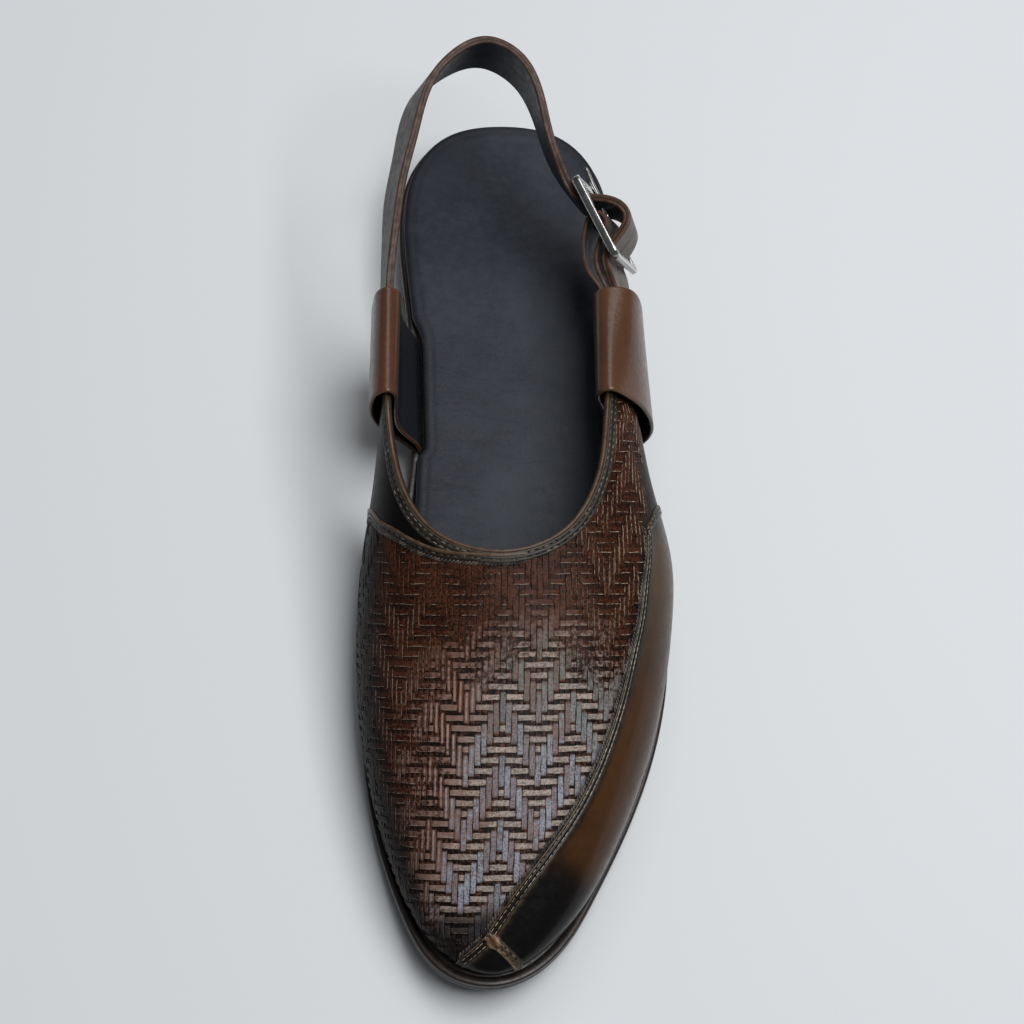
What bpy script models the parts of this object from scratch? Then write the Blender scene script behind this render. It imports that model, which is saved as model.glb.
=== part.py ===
"""Closed-toe slingback shoe, a man's left shoe, built piece by piece.

Lengths in the tables are millimetres; MM turns them into metres as meshes are made.
The origin is on the floor under the middle of the heel, +Z is up, the toe points
towards -Y and the outer (lateral) side of the foot is +X.
"""
import math

import bmesh
import bpy
import numpy as np
from mathutils import Matrix, Vector

MM = 0.001

# ---- driving dimensions (mm) ----------------------------------------------------
GAP = 0.3                  # space left between pieces that touch
OUTSOLE_THICKNESS = 7.0
INSOLE_THICKNESS = 4.6
UPPER_WALL = 1.8
LOOP_WALL = 1.4
STRAP_THICKNESS = 2.6
STRAP_WIDTH = 19.0
BILLET_THICKNESS = 1.4
BILLET_WIDTH = 17.5

HEEL_BREAST = -27.0        # y of the front face of the heel block
HEEL_TAPER = 1.2           # how much the heel draws in towards the floor

BUCKLE_REAR = (20.0, -12.8, 67.0)    # centre of the top rail over the rear bar
BUCKLE_FRONT = (31.8, -39.5, 65.0)   # centre of the top rail over the front bar
BUCKLE_LEAN = 25.0         # degrees that the frame leans out towards its foot
BUCKLE_HEIGHT = 24.0       # between the centres of the two rails
BUCKLE_BAR = 2.7           # width of the frame's bars
BUCKLE_THICKNESS = 2.2
BUCKLE_PIN = 1.8           # width of the centre bar
BUCKLE_EDGE = 0.5          # rounding of the frame's edges
STRAP_DROP = 2.4           # top edge of the strap below the rail's centre
BILLET_DROP = 3.2          # top edge of the billet below the rail's centre
PRONG_RADIUS = 0.95
PRONG_DROP = 10.4          # the prong lies this far below the rail's centre

# ---- outlines, seen from above ---------------------------------------------------
# Outsole, closed: from the back of the heel along the outer side to the toe and back.
SOLE_OUTLINE = (
    # x, y
    (0.0, 35.4), (20.4, 30.6), (31.4, 18.0), (35.8, 0.0), (37.0, -45.0), (42.2, -95.0),
    (49.4, -135.0), (48.7, -168.0), (38.6, -205.0), (23.0, -237.5), (8.2, -259.0),
    (-9.0, -267.4), (-25.0, -263.2), (-37.8, -243.0), (-46.6, -212.0), (-50.2, -178.0),
    (-47.4, -140.0), (-36.6, -108.0), (-32.8, -82.0), (-34.4, -35.0), (-36.1, 0.0),
    (-31.8, 18.0), (-20.6, 30.8),
)

# Upper, from the end of the inner ear round the toe to the end of the outer ear:
# its widest line, the line of its lower edge, and the lower edge's height over the sole.
UPPER_OUTLINE = (
    # wide_x, wide_y, foot_x, foot_y, lift
    (-43.0, -60.0, -42.9, -60.0, 21.6),
    (-43.8, -87.0, -43.5, -87.0, 24.6),
    (-44.8, -97.0, -44.1, -97.0, 18.6),
    (-46.2, -108.0, -43.6, -108.0, 8.6),
    (-48.0, -119.0, -39.6, -119.0, 0.8),
    (-50.1, -133.0, -44.0, -132.0, 0.0),
    (-51.4, -152.0, -47.9, -151.5, 0.0),
    (-51.0, -177.0, -49.1, -176.5, 0.0),
    (-47.8, -202.0, -46.7, -201.0, 0.0),
    (-42.2, -225.0, -41.2, -223.8, 0.0),
    (-34.4, -245.5, -33.5, -244.0, 0.0),
    (-23.6, -259.3, -23.2, -257.6, 0.0),
    (-10.0, -264.6, -10.0, -262.8, 0.0),
    (4.0, -258.3, 3.2, -256.9, 0.0),
    (16.4, -245.6, 15.3, -244.6, 0.0),
    (29.4, -223.2, 28.2, -222.4, 0.0),
    (40.1, -197.0, 38.9, -196.5, 0.0),
    (46.7, -172.5, 45.3, -172.2, 0.0),
    (50.0, -150.0, 47.9, -150.0, 0.0),
    (50.5, -132.0, 47.7, -132.0, 0.0),
    (48.0, -119.0, 45.4, -119.0, 0.8),
    (44.7, -108.0, 44.0, -108.0, 9.0),
    (42.0, -97.0, 41.8, -97.0, 19.6),
    (39.9, -87.0, 39.8, -87.0, 25.6),
    (37.9, -73.0, 37.8, -73.0, 23.6),
    (36.0, -58.0, 36.0, -58.0, 21.6),
)

# Collar edge of the upper, in the same order: a U open towards the heel.
COLLAR = (
    # x, y
    (-41.9, -60.0), (-42.2, -87.0), (-39.6, -108.5), (-35.2, -122.5), (-27.0, -133.8),
    (-16.0, -139.8), (-5.0, -141.0), (5.5, -138.4), (13.8, -133.0), (21.0, -123.0),
    (25.6, -110.0), (28.5, -87.0), (30.6, -73.0), (32.6, -58.0),
)
COLLAR_CROWDING = 0.65     # how strongly the ribs of the toe crowd together at the throat

# ---- profiles along the foot ------------------------------------------------------
SOLE_PROFILE = (
    # y, height of the outsole's underside
    (-268.0, 9.6), (-240.0, 4.4), (-215.0, 1.3), (-188.0, 0.0), (-146.0, 0.0),
    (-122.0, 1.6), (-92.0, 5.8), (-60.0, 10.0), (-27.0, 12.0), (36.0, 12.0),
)

INSOLE_INSET = (
    # y, distance from the edge of the outsole
    (-268.0, 8.4), (-215.0, 7.0), (-170.0, 5.2), (-112.0, 4.8), (-95.0, 2.6),
    (-60.0, 1.6), (36.0, 1.5),
)

LAST_SECTIONS = (
    # y, ridge_x, ridge_z, inner_z, outer_z, inner_square, outer_square
    # ridge: the crown of the section; inner_z and outer_z: height of its widest points;
    # square: exponent of the curve from the widest point to the crown
    (-266.0, -10.0, 25.0, 19.5, 19.5, 2.3, 2.3),
    (-250.0, -9.5, 31.0, 18.0, 18.0, 2.3, 2.3),
    (-220.0, -8.0, 40.0, 16.0, 16.0, 2.25, 2.2),
    (-168.0, -6.5, 52.4, 17.5, 17.5, 2.1, 2.1),
    (-140.0, -6.0, 59.2, 21.5, 21.0, 2.15, 2.05),
    (-121.0, -6.0, 63.2, 25.5, 24.0, 2.4, 2.0),
    (-108.0, -6.0, 65.8, 29.5, 29.0, 2.7, 2.0),
    (-97.0, -6.0, 67.8, 34.0, 35.0, 3.2, 1.9),
    (-87.0, -6.0, 68.0, 39.0, 40.0, 3.8, 1.9),
    (-58.0, -6.0, 67.0, 41.0, 41.0, 4.0, 2.9),
)
STRAIGHT_EAR = (-92.0, -74.0)      # y where the ears' sections start and finish turning flat
TOE_ROUND = (-222.0, 2.6)  # y where the crown starts to close over the toe, and how squarely

# ---- side loops: the middle of the leather, at the loop's rear and front edge --------
LOOP_REAR, LOOP_FRONT = -49.0, -87.0
OUTER_LOOP = (
    # rear_x, rear_z, front_x, front_z
    (33.7, 18.9, 36.5, 14.6), (33.3, 23.5, 35.8, 19.5), (31.7, 31.5, 33.4, 28.5),
    (28.9, 41.0, 29.6, 40.0), (26.6, 50.0, 26.4, 51.5), (26.3, 55.8, 25.7, 58.4),
    (28.2, 58.9, 28.5, 61.1), (32.6, 60.0, 32.0, 59.2), (37.4, 57.8, 36.4, 54.2),
    (40.4, 51.0, 40.4, 48.0), (41.9, 43.0, 43.4, 40.4), (42.4, 35.0, 45.0, 32.6),
    (41.2, 28.0, 44.6, 25.8), (38.4, 22.8, 42.2, 19.8), (35.7, 18.9, 38.5, 14.6),
)
INNER_LOOP = (
    # rear_x, rear_z, front_x, front_z
    (-30.7, 18.9, -30.1, 14.6), (-31.6, 23.6, -31.2, 19.4), (-34.0, 30.0, -34.6, 26.0),
    (-36.5, 38.0, -37.8, 33.5), (-37.4, 46.0, -38.8, 43.0), (-37.6, 54.0, -39.0, 52.5),
    (-38.6, 57.6, -39.7, 57.8), (-41.2, 59.4, -41.9, 59.6), (-43.8, 57.2, -44.6, 57.8),
    (-45.0, 52.0, -46.3, 53.4), (-45.6, 45.0, -46.9, 46.4), (-45.2, 38.0, -45.9, 39.4),
    (-42.0, 30.0, -42.4, 31.0), (-36.8, 23.4, -36.4, 21.6), (-32.5, 18.9, -31.9, 14.6),
)
# The insole is notched where each loop stands: rear x, front x of the notch's inner side.
OUTER_NOTCH = (32.1, 34.4)
INNER_NOTCH = (-29.5, -28.9)

# ---- straps: middle of the top edge, and the sideways run of the width per unit down ---
STRAP_BACK = (
    # x, y, z, lean_x, lean_y
    (-41.0, -59.6, 56.6, -0.09, 0.0),
    (-40.8, -50.0, 56.8, -0.09, 0.0),
    (-38.4, -27.4, 63.2, -0.18, 0.0),
    (-36.0, -13.0, 67.6, -0.27, 0.03),
    (-31.8, 2.8, 72.3, -0.33, 0.08),
    (-26.9, 18.0, 76.5, -0.33, 0.14),
    (-18.0, 28.1, 79.4, -0.16, 0.16),
    (-8.5, 31.7, 80.4, -0.04, 0.10),
    (-0.4, 28.8, 79.6, 0.02, 0.0),
    (5.1, 22.9, 77.9, 0.02, -0.05),
    (8.9, 13.5, 75.0, 0.03, -0.04),
    (11.4, 2.8, 71.4, 0.09, -0.01),
    (14.6, -6.4, 67.5, 0.20, 0.05),
)
# Through the buckle: along the rail, out of the frame's plane (outwards positive), and
# how far the width turns from the frame's own lean towards the vertical.
STRAP_IN_BUCKLE = (
    # along, out, upright
    (1.0, -3.3, 0.26), (3.9, -2.7, 0.22), (6.6, 0.0, 0.20), (9.0, 3.8, 0.22),
    (12.0, 7.1, 0.30), (15.6, 9.1, 0.38), (19.2, 9.0, 0.40), (22.0, 6.2, 0.36),
    (24.0, 2.2, 0.26), (25.6, -1.0, 0.14), (27.8, -3.5, 0.0), (31.0, -4.6, -0.08),
)
STRAP_END = (
    # x, y, z, lean_x, lean_y
    (31.7, -47.5, 57.4, 0.36, 0.05),
    (33.4, -54.0, 56.5, 0.27, 0.0),
    (34.4, -60.0, 55.8, 0.24, 0.0),
    (34.8, -67.0, 54.8, 0.27, 0.0),
)

# Billet: inner ply, fold round the centre bar, outer ply.
BILLET_INNER = (
    # x, y, z, lean_x, lean_y
    (28.4, -57.6, 55.4, 0.20, 0.0),
    (28.2, -53.0, 55.7, 0.20, 0.0),
    (27.7, -47.8, 56.3, 0.20, 0.0),
)
BILLET_IN_BUCKLE_INNER = ((27.6, -10.8), (22.6, -9.5), (18.4, -7.6), (14.8, -5.0), (12.6, -2.4))
BILLET_IN_BUCKLE_OUTER = ((17.8, 1.4), (20.2, -1.2), (23.6, -5.0), (28.0, -7.4))
BILLET_OUTER = (
    # x, y, z, lean_x, lean_y
    (29.6, -47.6, 56.4, 0.22, 0.0),
    (30.2, -54.0, 55.8, 0.20, 0.0),
    (29.1, -66.0, 55.2, 0.22, 0.0),
)

# Prong: along the rail, and out of the frame's plane.
PRONG_EYE = 2.5            # radius of the wire's middle round the centre bar
PRONG_PATH = ((11.2, 2.5), (8.0, 2.5), (4.0, 2.5), (0.0, 2.7), (-3.4, 3.1), (-5.8, 3.2))

# ---- how finely the surfaces are divided -------------------------------------------
SOLE_STEPS = 62            # points along each side of a sole outline
SOLE_COLUMNS = 4
UPPER_RIBS = 71
CROWN_STEPS = 9            # rows from the collar to the widest line
TUCK_STEPS = 3             # rows from the widest line to the lower edge
TUCK_ANGLE = math.radians(62.0)
LOOP_STEPS = 40
LOOP_SPANS = 4
STRAP_STATIONS = 84
BILLET_STATIONS = 44


# ---- curves and tables ---------------------------------------------------------------
def second_derivatives(knots, values, closed):
    """Second derivatives of a cubic spline, natural at its ends or periodic."""
    count = len(knots)
    steps = np.diff(knots)
    slopes = np.diff(values, axis=0) / steps[:, None]
    matrix = np.eye(count)
    right = np.zeros_like(values)
    for i in range(1, count - 1):
        matrix[i, i - 1:i + 2] = (steps[i - 1], 2.0 * (steps[i - 1] + steps[i]), steps[i])
        right[i] = 6.0 * (slopes[i] - slopes[i - 1])
    if closed:
        matrix[0] = 0.0
        matrix[0, 0], matrix[0, -1] = 1.0, -1.0
        matrix[-1] = 0.0
        matrix[-1, [0, 1, -2, -1]] = (2.0 * steps[0], steps[0], steps[-1], 2.0 * steps[-1])
        right[-1] = 6.0 * (slopes[0] - slopes[-1])
    return np.linalg.solve(matrix, right)


def smooth_curve(rows, count, closed=False, dims=2):
    """Evenly spaced rows along a cubic spline through the given rows.

    Spacing is measured on the first dims columns; the other columns follow along.
    """
    rows = np.array(rows, dtype=float)
    if closed:
        rows = np.vstack((rows, rows[:1]))
    knots = np.concatenate(([0.0], np.cumsum(np.linalg.norm(np.diff(rows[:, :dims], axis=0), axis=1))))
    curvature = second_derivatives(knots, rows, closed)
    fine = np.linspace(0.0, knots[-1], 24 * len(rows))
    span = np.clip(np.searchsorted(knots, fine, side="right") - 1, 0, len(knots) - 2)
    step = (knots[span + 1] - knots[span])[:, None]
    a = (knots[span + 1] - fine)[:, None] / step
    b = 1.0 - a
    points = (a * rows[span] + b * rows[span + 1]
              + ((a ** 3 - a) * curvature[span] + (b ** 3 - b) * curvature[span + 1]) * step ** 2 / 6.0)
    run = np.concatenate(([0.0], np.cumsum(np.linalg.norm(np.diff(points[:, :dims], axis=0), axis=1))))
    wanted = np.linspace(0.0, run[-1], count + 1 if closed else count)
    result = np.column_stack([np.interp(wanted, run, column) for column in points.T])
    return result[:-1] if closed else result


def table_lookup(rows, y):
    """Columns of a table at station y, joined by monotone cubics, so flats stay flat."""
    rows = np.array(rows, dtype=float)
    stations, values = rows[:, 0], rows[:, 1:]
    y = min(max(y, stations[0]), stations[-1])
    steps = np.diff(stations)[:, None]
    slopes = np.diff(values, axis=0) / steps
    tangents = np.zeros_like(values)
    same = slopes[:-1] * slopes[1:] > 0.0
    total = np.where(same, slopes[:-1] + slopes[1:], 1.0)
    tangents[1:-1] = np.where(same, 2.0 * slopes[:-1] * slopes[1:] / total, 0.0)
    tangents[0], tangents[-1] = slopes[0], slopes[-1]
    i = int(np.clip(np.searchsorted(stations, y, side="right") - 1, 0, len(steps) - 1))
    h = steps[i, 0]
    t = (y - stations[i]) / h
    return (values[i] * (2 * t ** 3 - 3 * t ** 2 + 1) + values[i + 1] * (3 * t ** 2 - 2 * t ** 3)
            + h * tangents[i] * (t ** 3 - 2 * t ** 2 + t) + h * tangents[i + 1] * (t ** 3 - t ** 2))


def sole_underside(y):
    return float(table_lookup(SOLE_PROFILE, y)[0])


def sole_top(y):
    return sole_underside(y) + OUTSOLE_THICKNESS


# ---- meshes, objects and materials ------------------------------------------------------
def make_material(name, colour, roughness, metallic=0.0):
    material = bpy.data.materials.new(name)
    material.use_nodes = True
    shader = material.node_tree.nodes["Principled BSDF"]
    shader.inputs["Base Color"].default_value = (*colour, 1.0)
    shader.inputs["Roughness"].default_value = roughness
    shader.inputs["Metallic"].default_value = metallic
    material.diffuse_color = (*colour, 1.0)
    return material


def add_object(name, bm, collection, material):
    """Turn a bmesh in millimetres into a named object in metres."""
    bmesh.ops.remove_doubles(bm, verts=bm.verts, dist=0.001)
    bmesh.ops.recalc_face_normals(bm, faces=bm.faces)
    bmesh.ops.scale(bm, vec=(MM, MM, MM), verts=bm.verts)
    mesh = bpy.data.meshes.new(name)
    bm.to_mesh(mesh)
    bm.free()
    mesh.materials.append(material)
    mesh.shade_smooth()
    mesh.set_sharp_from_angle(angle=math.radians(40.0))
    obj = bpy.data.objects.new(name, mesh)
    collection.objects.link(obj)
    return obj


def loft(sections, closed=False, capped=False):
    """Faces between sections of equally many points; closed joins each section's ends."""
    bm = bmesh.new()
    rings = [[bm.verts.new(point) for point in section] for section in sections]
    count = len(rings[0])
    spans = count if closed else count - 1
    for near, far in zip(rings, rings[1:]):
        for i in range(spans):
            j = (i + 1) % count
            bm.faces.new((near[i], near[j], far[j], far[i]))
    if capped:
        bm.faces.new(rings[0])
        bm.faces.new(rings[-1])
    return bm


def add_solidify(obj, thickness, offset):
    wall = obj.modifiers.new("wall", "SOLIDIFY")
    wall.thickness = thickness * MM
    wall.offset = offset


def cut(obj, cutter):
    difference = obj.modifiers.new("cut", "BOOLEAN")
    difference.operation = "DIFFERENCE"
    difference.solver = "EXACT"
    difference.object = cutter


def box_cutter(name, centre, axes, size, collection):
    """A box of the given size (mm), turned to three axes, kept only to cut with."""
    turn = Matrix([list(axis) for axis in axes]).transposed().to_4x4()
    stretch = Matrix.Diagonal((size[0] * MM, size[1] * MM, size[2] * MM, 1.0))
    bm = bmesh.new()
    bmesh.ops.create_cube(bm, size=1.0, matrix=Matrix.Translation(Vector(centre) * MM) @ turn @ stretch)
    bmesh.ops.recalc_face_normals(bm, faces=bm.faces)
    mesh = bpy.data.meshes.new(name)
    bm.to_mesh(mesh)
    bm.free()
    cutter = bpy.data.objects.new(name, mesh)
    collection.objects.link(cutter)
    cutter.hide_render = True
    cutter.display_type = "WIRE"
    return cutter


# ---- soles -------------------------------------------------------------------------------
def inset_outline(points, inset_at):
    """Move each point of a closed outline inwards by a distance that depends on y."""
    ahead = np.roll(points, -1, axis=0) - np.roll(points, 1, axis=0)
    ahead /= np.linalg.norm(ahead, axis=1)[:, None]
    inward = np.column_stack((ahead[:, 1], -ahead[:, 0]))
    distance = np.array([inset_at(y) for y in points[:, 1]])
    return points + inward * distance[:, None]


def sole_plate(outline, top_at, bottom_at):
    """A plate with the given outline: rungs join its two sides, then it is extruded down."""
    half = len(outline) // 2
    bm = bmesh.new()
    heel, toe = (bm.verts.new((*outline[i], 0.0)) for i in (0, half))
    rungs = []
    for i in range(1, half):
        outer, inner = outline[i], outline[-i]
        steps = np.linspace(0.0, 1.0, SOLE_COLUMNS + 1)
        rungs.append([bm.verts.new((*(outer + (inner - outer) * s), 0.0)) for s in steps])
    for near, far in zip(rungs, rungs[1:]):
        for i in range(SOLE_COLUMNS):
            bm.faces.new((near[i], near[i + 1], far[i + 1], far[i]))
    for tip, rung in ((heel, rungs[0]), (toe, rungs[-1])):
        for i in range(SOLE_COLUMNS):
            bm.faces.new((tip, rung[i], rung[i + 1]))
    lower = bmesh.ops.extrude_face_region(bm, geom=bm.faces[:], use_keep_orig=True)
    bottom = {item for item in lower["geom"] if isinstance(item, bmesh.types.BMVert)}
    for vert in bm.verts:
        vert.co.z = bottom_at(vert.co.y) if vert in bottom else top_at(vert.co.y)
    return bm


def build_outsole(collection, material):
    outline = smooth_curve(SOLE_OUTLINE, 2 * SOLE_STEPS, closed=True)
    bm = sole_plate(outline, sole_top, sole_underside)
    return add_object("outsole", bm, collection, material)


def build_insole(collection, cutters, material):
    outline = smooth_curve(SOLE_OUTLINE, 2 * SOLE_STEPS, closed=True)
    outline = inset_outline(outline, lambda y: float(table_lookup(INSOLE_INSET, y)[0]))
    bm = sole_plate(outline, lambda y: sole_top(y) + GAP + INSOLE_THICKNESS,
                    lambda y: sole_top(y) + GAP)
    insole = add_object("insole", bm, collection, material)
    depth = 12.0
    for name, notch, side in (("outer_notch", OUTER_NOTCH, 1.0), ("inner_notch", INNER_NOTCH, -1.0)):
        rear = Vector((notch[0], LOOP_REAR + 0.5, 0.0))
        front = Vector((notch[1], LOOP_FRONT - 0.5, 0.0))
        along = (rear - front).normalized()
        across = Vector((along.y, -along.x, 0.0)) * side
        centre = (rear + front) / 2.0 + across * depth / 2.0 + Vector((0.0, 0.0, 18.0))
        axes = (across * side, along, Vector((0.0, 0.0, 1.0)))
        cutter = box_cutter(name, centre, axes, (depth, (rear - front).length, 40.0), cutters)
        cut(insole, cutter)
    return insole


def build_heel(collection, material):
    """The heel block: the rear of the sole's outline, drawn in a little to the floor."""
    outline = smooth_curve(SOLE_OUTLINE, 6 * SOLE_STEPS, closed=True)
    rear = [point for point in outline if point[1] > HEEL_BREAST]
    split = max(range(1, len(rear)), key=lambda i: np.linalg.norm(rear[i] - rear[i - 1]))
    rear = np.array(rear[split:] + rear[:split])
    rim = smooth_curve(rear, 33)
    bm = bmesh.new()
    face = bm.faces.new([bm.verts.new((*point, 0.0)) for point in rim])
    lower = bmesh.ops.extrude_face_region(bm, geom=[face], use_keep_orig=True)
    bottom = {item for item in lower["geom"] if isinstance(item, bmesh.types.BMVert)}
    for vert in bm.verts:
        if vert in bottom:
            shrink = 1.0 - HEEL_TAPER / 34.0
            vert.co.x *= shrink
            vert.co.y = HEEL_BREAST + (vert.co.y - HEEL_BREAST) * shrink
            vert.co.z = 0.0
        else:
            vert.co.z = sole_underside(vert.co.y) - GAP
    return add_object("heel", bm, collection, material)


# ---- upper ---------------------------------------------------------------------------------
class Last:
    """The surface that the upper is drawn over, as a height above each point of the plan."""

    def __init__(self):
        curve = smooth_curve([row[:2] for row in UPPER_OUTLINE], 600)
        tip = int(np.argmin(curve[:, 1]))
        self.tip_y = float(curve[tip, 1])
        self.inner = curve[:tip + 1][::-1]
        self.outer = curve[tip:]

    def crown(self, y, ridge_z, wide_z):
        """Height of the ridge at y, closing down to the widest line over the toe."""
        start, square = TOE_ROUND
        if y >= start:
            return ridge_z
        q = min((start - y) / (start - self.tip_y), 1.0)
        return wide_z + (ridge_z - wide_z) * (1.0 - q ** square) ** (1.0 / square)

    def height(self, x, y):
        ridge_x, ridge_z, inner_z, outer_z, inner_square, outer_square = table_lookup(LAST_SECTIONS, y)
        if x < ridge_x:
            side, wide_z, square = self.inner, inner_z, inner_square
        else:
            side, wide_z, square = self.outer, outer_z, outer_square
        wide_x = np.interp(y, side[:, 1], side[:, 0])
        reach = wide_x - ridge_x
        q = 1.0 if abs(reach) < 1e-6 else min(abs((x - ridge_x) / reach), 1.0)
        crown = self.crown(y, ridge_z, wide_z)
        return wide_z + (crown - wide_z) * (1.0 - q ** square) ** (1.0 / square)


def upper_ribs(count):
    """Ribs of the upper, each a list of points from the collar to the lower edge."""
    last = Last()
    outline = smooth_curve(UPPER_OUTLINE, 601)
    collar = smooth_curve(COLLAR, 601)
    scale = np.linspace(-1.0, 1.0, 601)
    ribs = []
    for w in np.linspace(-1.0, 1.0, count):
        wide_x, wide_y, foot_x, foot_y, lift = (np.interp(w, scale, column) for column in outline.T)
        c = w * (1.0 - COLLAR_CROWDING + COLLAR_CROWDING * abs(w) ** 1.2)
        top_x, top_y = (np.interp(c, scale, column) for column in collar.T)
        top_z, wide_z = last.height(top_x, top_y), last.height(wide_x, wide_y)
        start, end = STRAIGHT_EAR
        straight = min(max((wide_y - start) / (end - start), 0.0), 1.0)
        rib = []
        for step in range(CROWN_STEPS + 1):
            s = math.sin(0.5 * math.pi * step / CROWN_STEPS)
            x, y = top_x + (wide_x - top_x) * s, top_y + (wide_y - top_y) * s
            z = last.height(x, y)
            rib.append((x, y, z + (top_z + (wide_z - top_z) * s - z) * straight))
        foot_z = sole_top(foot_y) + GAP + max(lift, 0.0)
        for step in range(1, TUCK_STEPS + 1):
            angle = TUCK_ANGLE * step / TUCK_STEPS
            inward = (1.0 - math.cos(angle)) / (1.0 - math.cos(TUCK_ANGLE))
            down = math.sin(angle) / math.sin(TUCK_ANGLE)
            rib.append((wide_x + (foot_x - wide_x) * inward, wide_y + (foot_y - wide_y) * inward,
                        wide_z + (foot_z - wide_z) * down))
        ribs.append(rib)
    return ribs


def build_upper(collection, material):
    upper = add_object("upper", loft(upper_ribs(UPPER_RIBS)), collection, material)
    add_solidify(upper, UPPER_WALL, -1.0)
    return upper


# ---- loops, straps and buckle -----------------------------------------------------------------
def build_loop(name, rows, collection, material):
    """A strip of leather that stands between insole and outsole and turns over at the top."""
    profile = smooth_curve(rows, LOOP_STEPS, dims=4)
    sections = []
    for step in range(LOOP_SPANS + 1):
        t = step / LOOP_SPANS
        y = LOOP_REAR + (LOOP_FRONT - LOOP_REAR) * t
        sections.append([(rx + (fx - rx) * t, y, rz + (fz - rz) * t) for rx, rz, fx, fz in profile])
    loop = add_object(name, loft(sections), collection, material)
    add_solidify(loop, LOOP_WALL, 0.0)
    return loop


class BuckleFrame:
    """Axes of the buckle: along its top rail, out of its plane, and down its bars."""

    def __init__(self):
        self.origin = Vector(BUCKLE_REAR)
        rail = Vector(BUCKLE_FRONT) - self.origin
        self.length = rail.length
        self.along = rail.normalized()
        side = Vector((-self.along.y, self.along.x, 0.0)).normalized()
        down = side.cross(self.along)
        if down.z > 0.0:
            down.negate()
        lean = math.radians(BUCKLE_LEAN)
        self.down = (down * math.cos(lean) + side * math.sin(lean)).normalized()
        self.out = (side * math.cos(lean) - down * math.sin(lean)).normalized()

    def point(self, along, out, down):
        return self.origin + self.along * along + self.out * out + self.down * down

    def strip_row(self, along, out, drop, upright=0.0):
        """A strap row (x, y, z, lean_x, lean_y) for a strip whose width runs down the bars."""
        p = self.point(along, out, drop)
        down = self.down.lerp(Vector((0.0, 0.0, -1.0)), upright)
        return (p.x, p.y, p.z, -down.x / down.z, -down.y / down.z)


def strip(rows, stations, width, thickness):
    """A flat strip of leather: a box section carried along the middle of its top edge."""
    path = smooth_curve(rows, stations, dims=3)
    sections = []
    for i, row in enumerate(path):
        before, after = path[max(i - 1, 0)], path[min(i + 1, len(path) - 1)]
        tangent = Vector(after[:3] - before[:3]).normalized()
        down = Vector((row[3], row[4], -1.0)).normalized()
        side = tangent.cross(down).normalized() * thickness / 2.0
        top = Vector(row[:3])
        foot = top + down * width
        sections.append((top - side, top + side, foot + side, foot - side))
    return loft(sections, closed=True, capped=True)


def build_strap(frame, collection, cutters, material):
    through = [frame.strip_row(along, out, STRAP_DROP, turn) for along, out, turn in STRAP_IN_BUCKLE]
    rows = (*STRAP_BACK, *through, *STRAP_END)
    strap = add_object("sling_strap", strip(rows, STRAP_STATIONS, STRAP_WIDTH, STRAP_THICKNESS),
                       collection, material)
    hole = box_cutter("prong_hole", frame.point(9.0, 2.5, PRONG_DROP),
                      (frame.along, frame.out, frame.down), (9.0, 2.7, 2.7), cutters)
    cut(strap, hole)
    return strap


def pin_radius():
    """Distance from the middle of the centre bar to its rounded corners."""
    draw_in = BUCKLE_EDGE * (1.0 - math.sqrt(0.5))
    return math.hypot(BUCKLE_PIN / 2.0 - draw_in, BUCKLE_THICKNESS / 2.0 - draw_in)


def build_billet(frame, collection, cutters, material):
    middle = frame.length / 2.0
    radius = pin_radius() + GAP + BILLET_THICKNESS / 2.0
    fold = []
    for degrees in (180.0, 135.0, 90.0):
        angle = math.radians(degrees)
        fold.append((middle + radius * math.cos(angle), radius * math.sin(angle)))
    bends = (*BILLET_IN_BUCKLE_INNER, *fold, *BILLET_IN_BUCKLE_OUTER)
    through = [frame.strip_row(along, out, BILLET_DROP) for along, out in bends]
    rows = (*BILLET_INNER, *through, *BILLET_OUTER)
    billet = add_object("buckle_billet", strip(rows, BILLET_STATIONS, BILLET_WIDTH, BILLET_THICKNESS),
                        collection, material)
    slot = box_cutter("prong_slot", frame.point(middle - 0.7, 0.4, PRONG_DROP),
                      (frame.along, frame.out, frame.down), (10.6, 10.8, 2.9), cutters)
    cut(billet, slot)
    return billet


def rounded_rectangle(x0, y0, x1, y1, radius, corner_steps=4):
    points = []
    corners = ((x1 - radius, y1 - radius, 0.0), (x0 + radius, y1 - radius, 90.0),
               (x0 + radius, y0 + radius, 180.0), (x1 - radius, y0 + radius, 270.0))
    for cx, cy, start in corners:
        for step in range(corner_steps + 1):
            angle = math.radians(start + 90.0 * step / corner_steps)
            points.append((cx + radius * math.cos(angle), cy + radius * math.sin(angle)))
    return points


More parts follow.
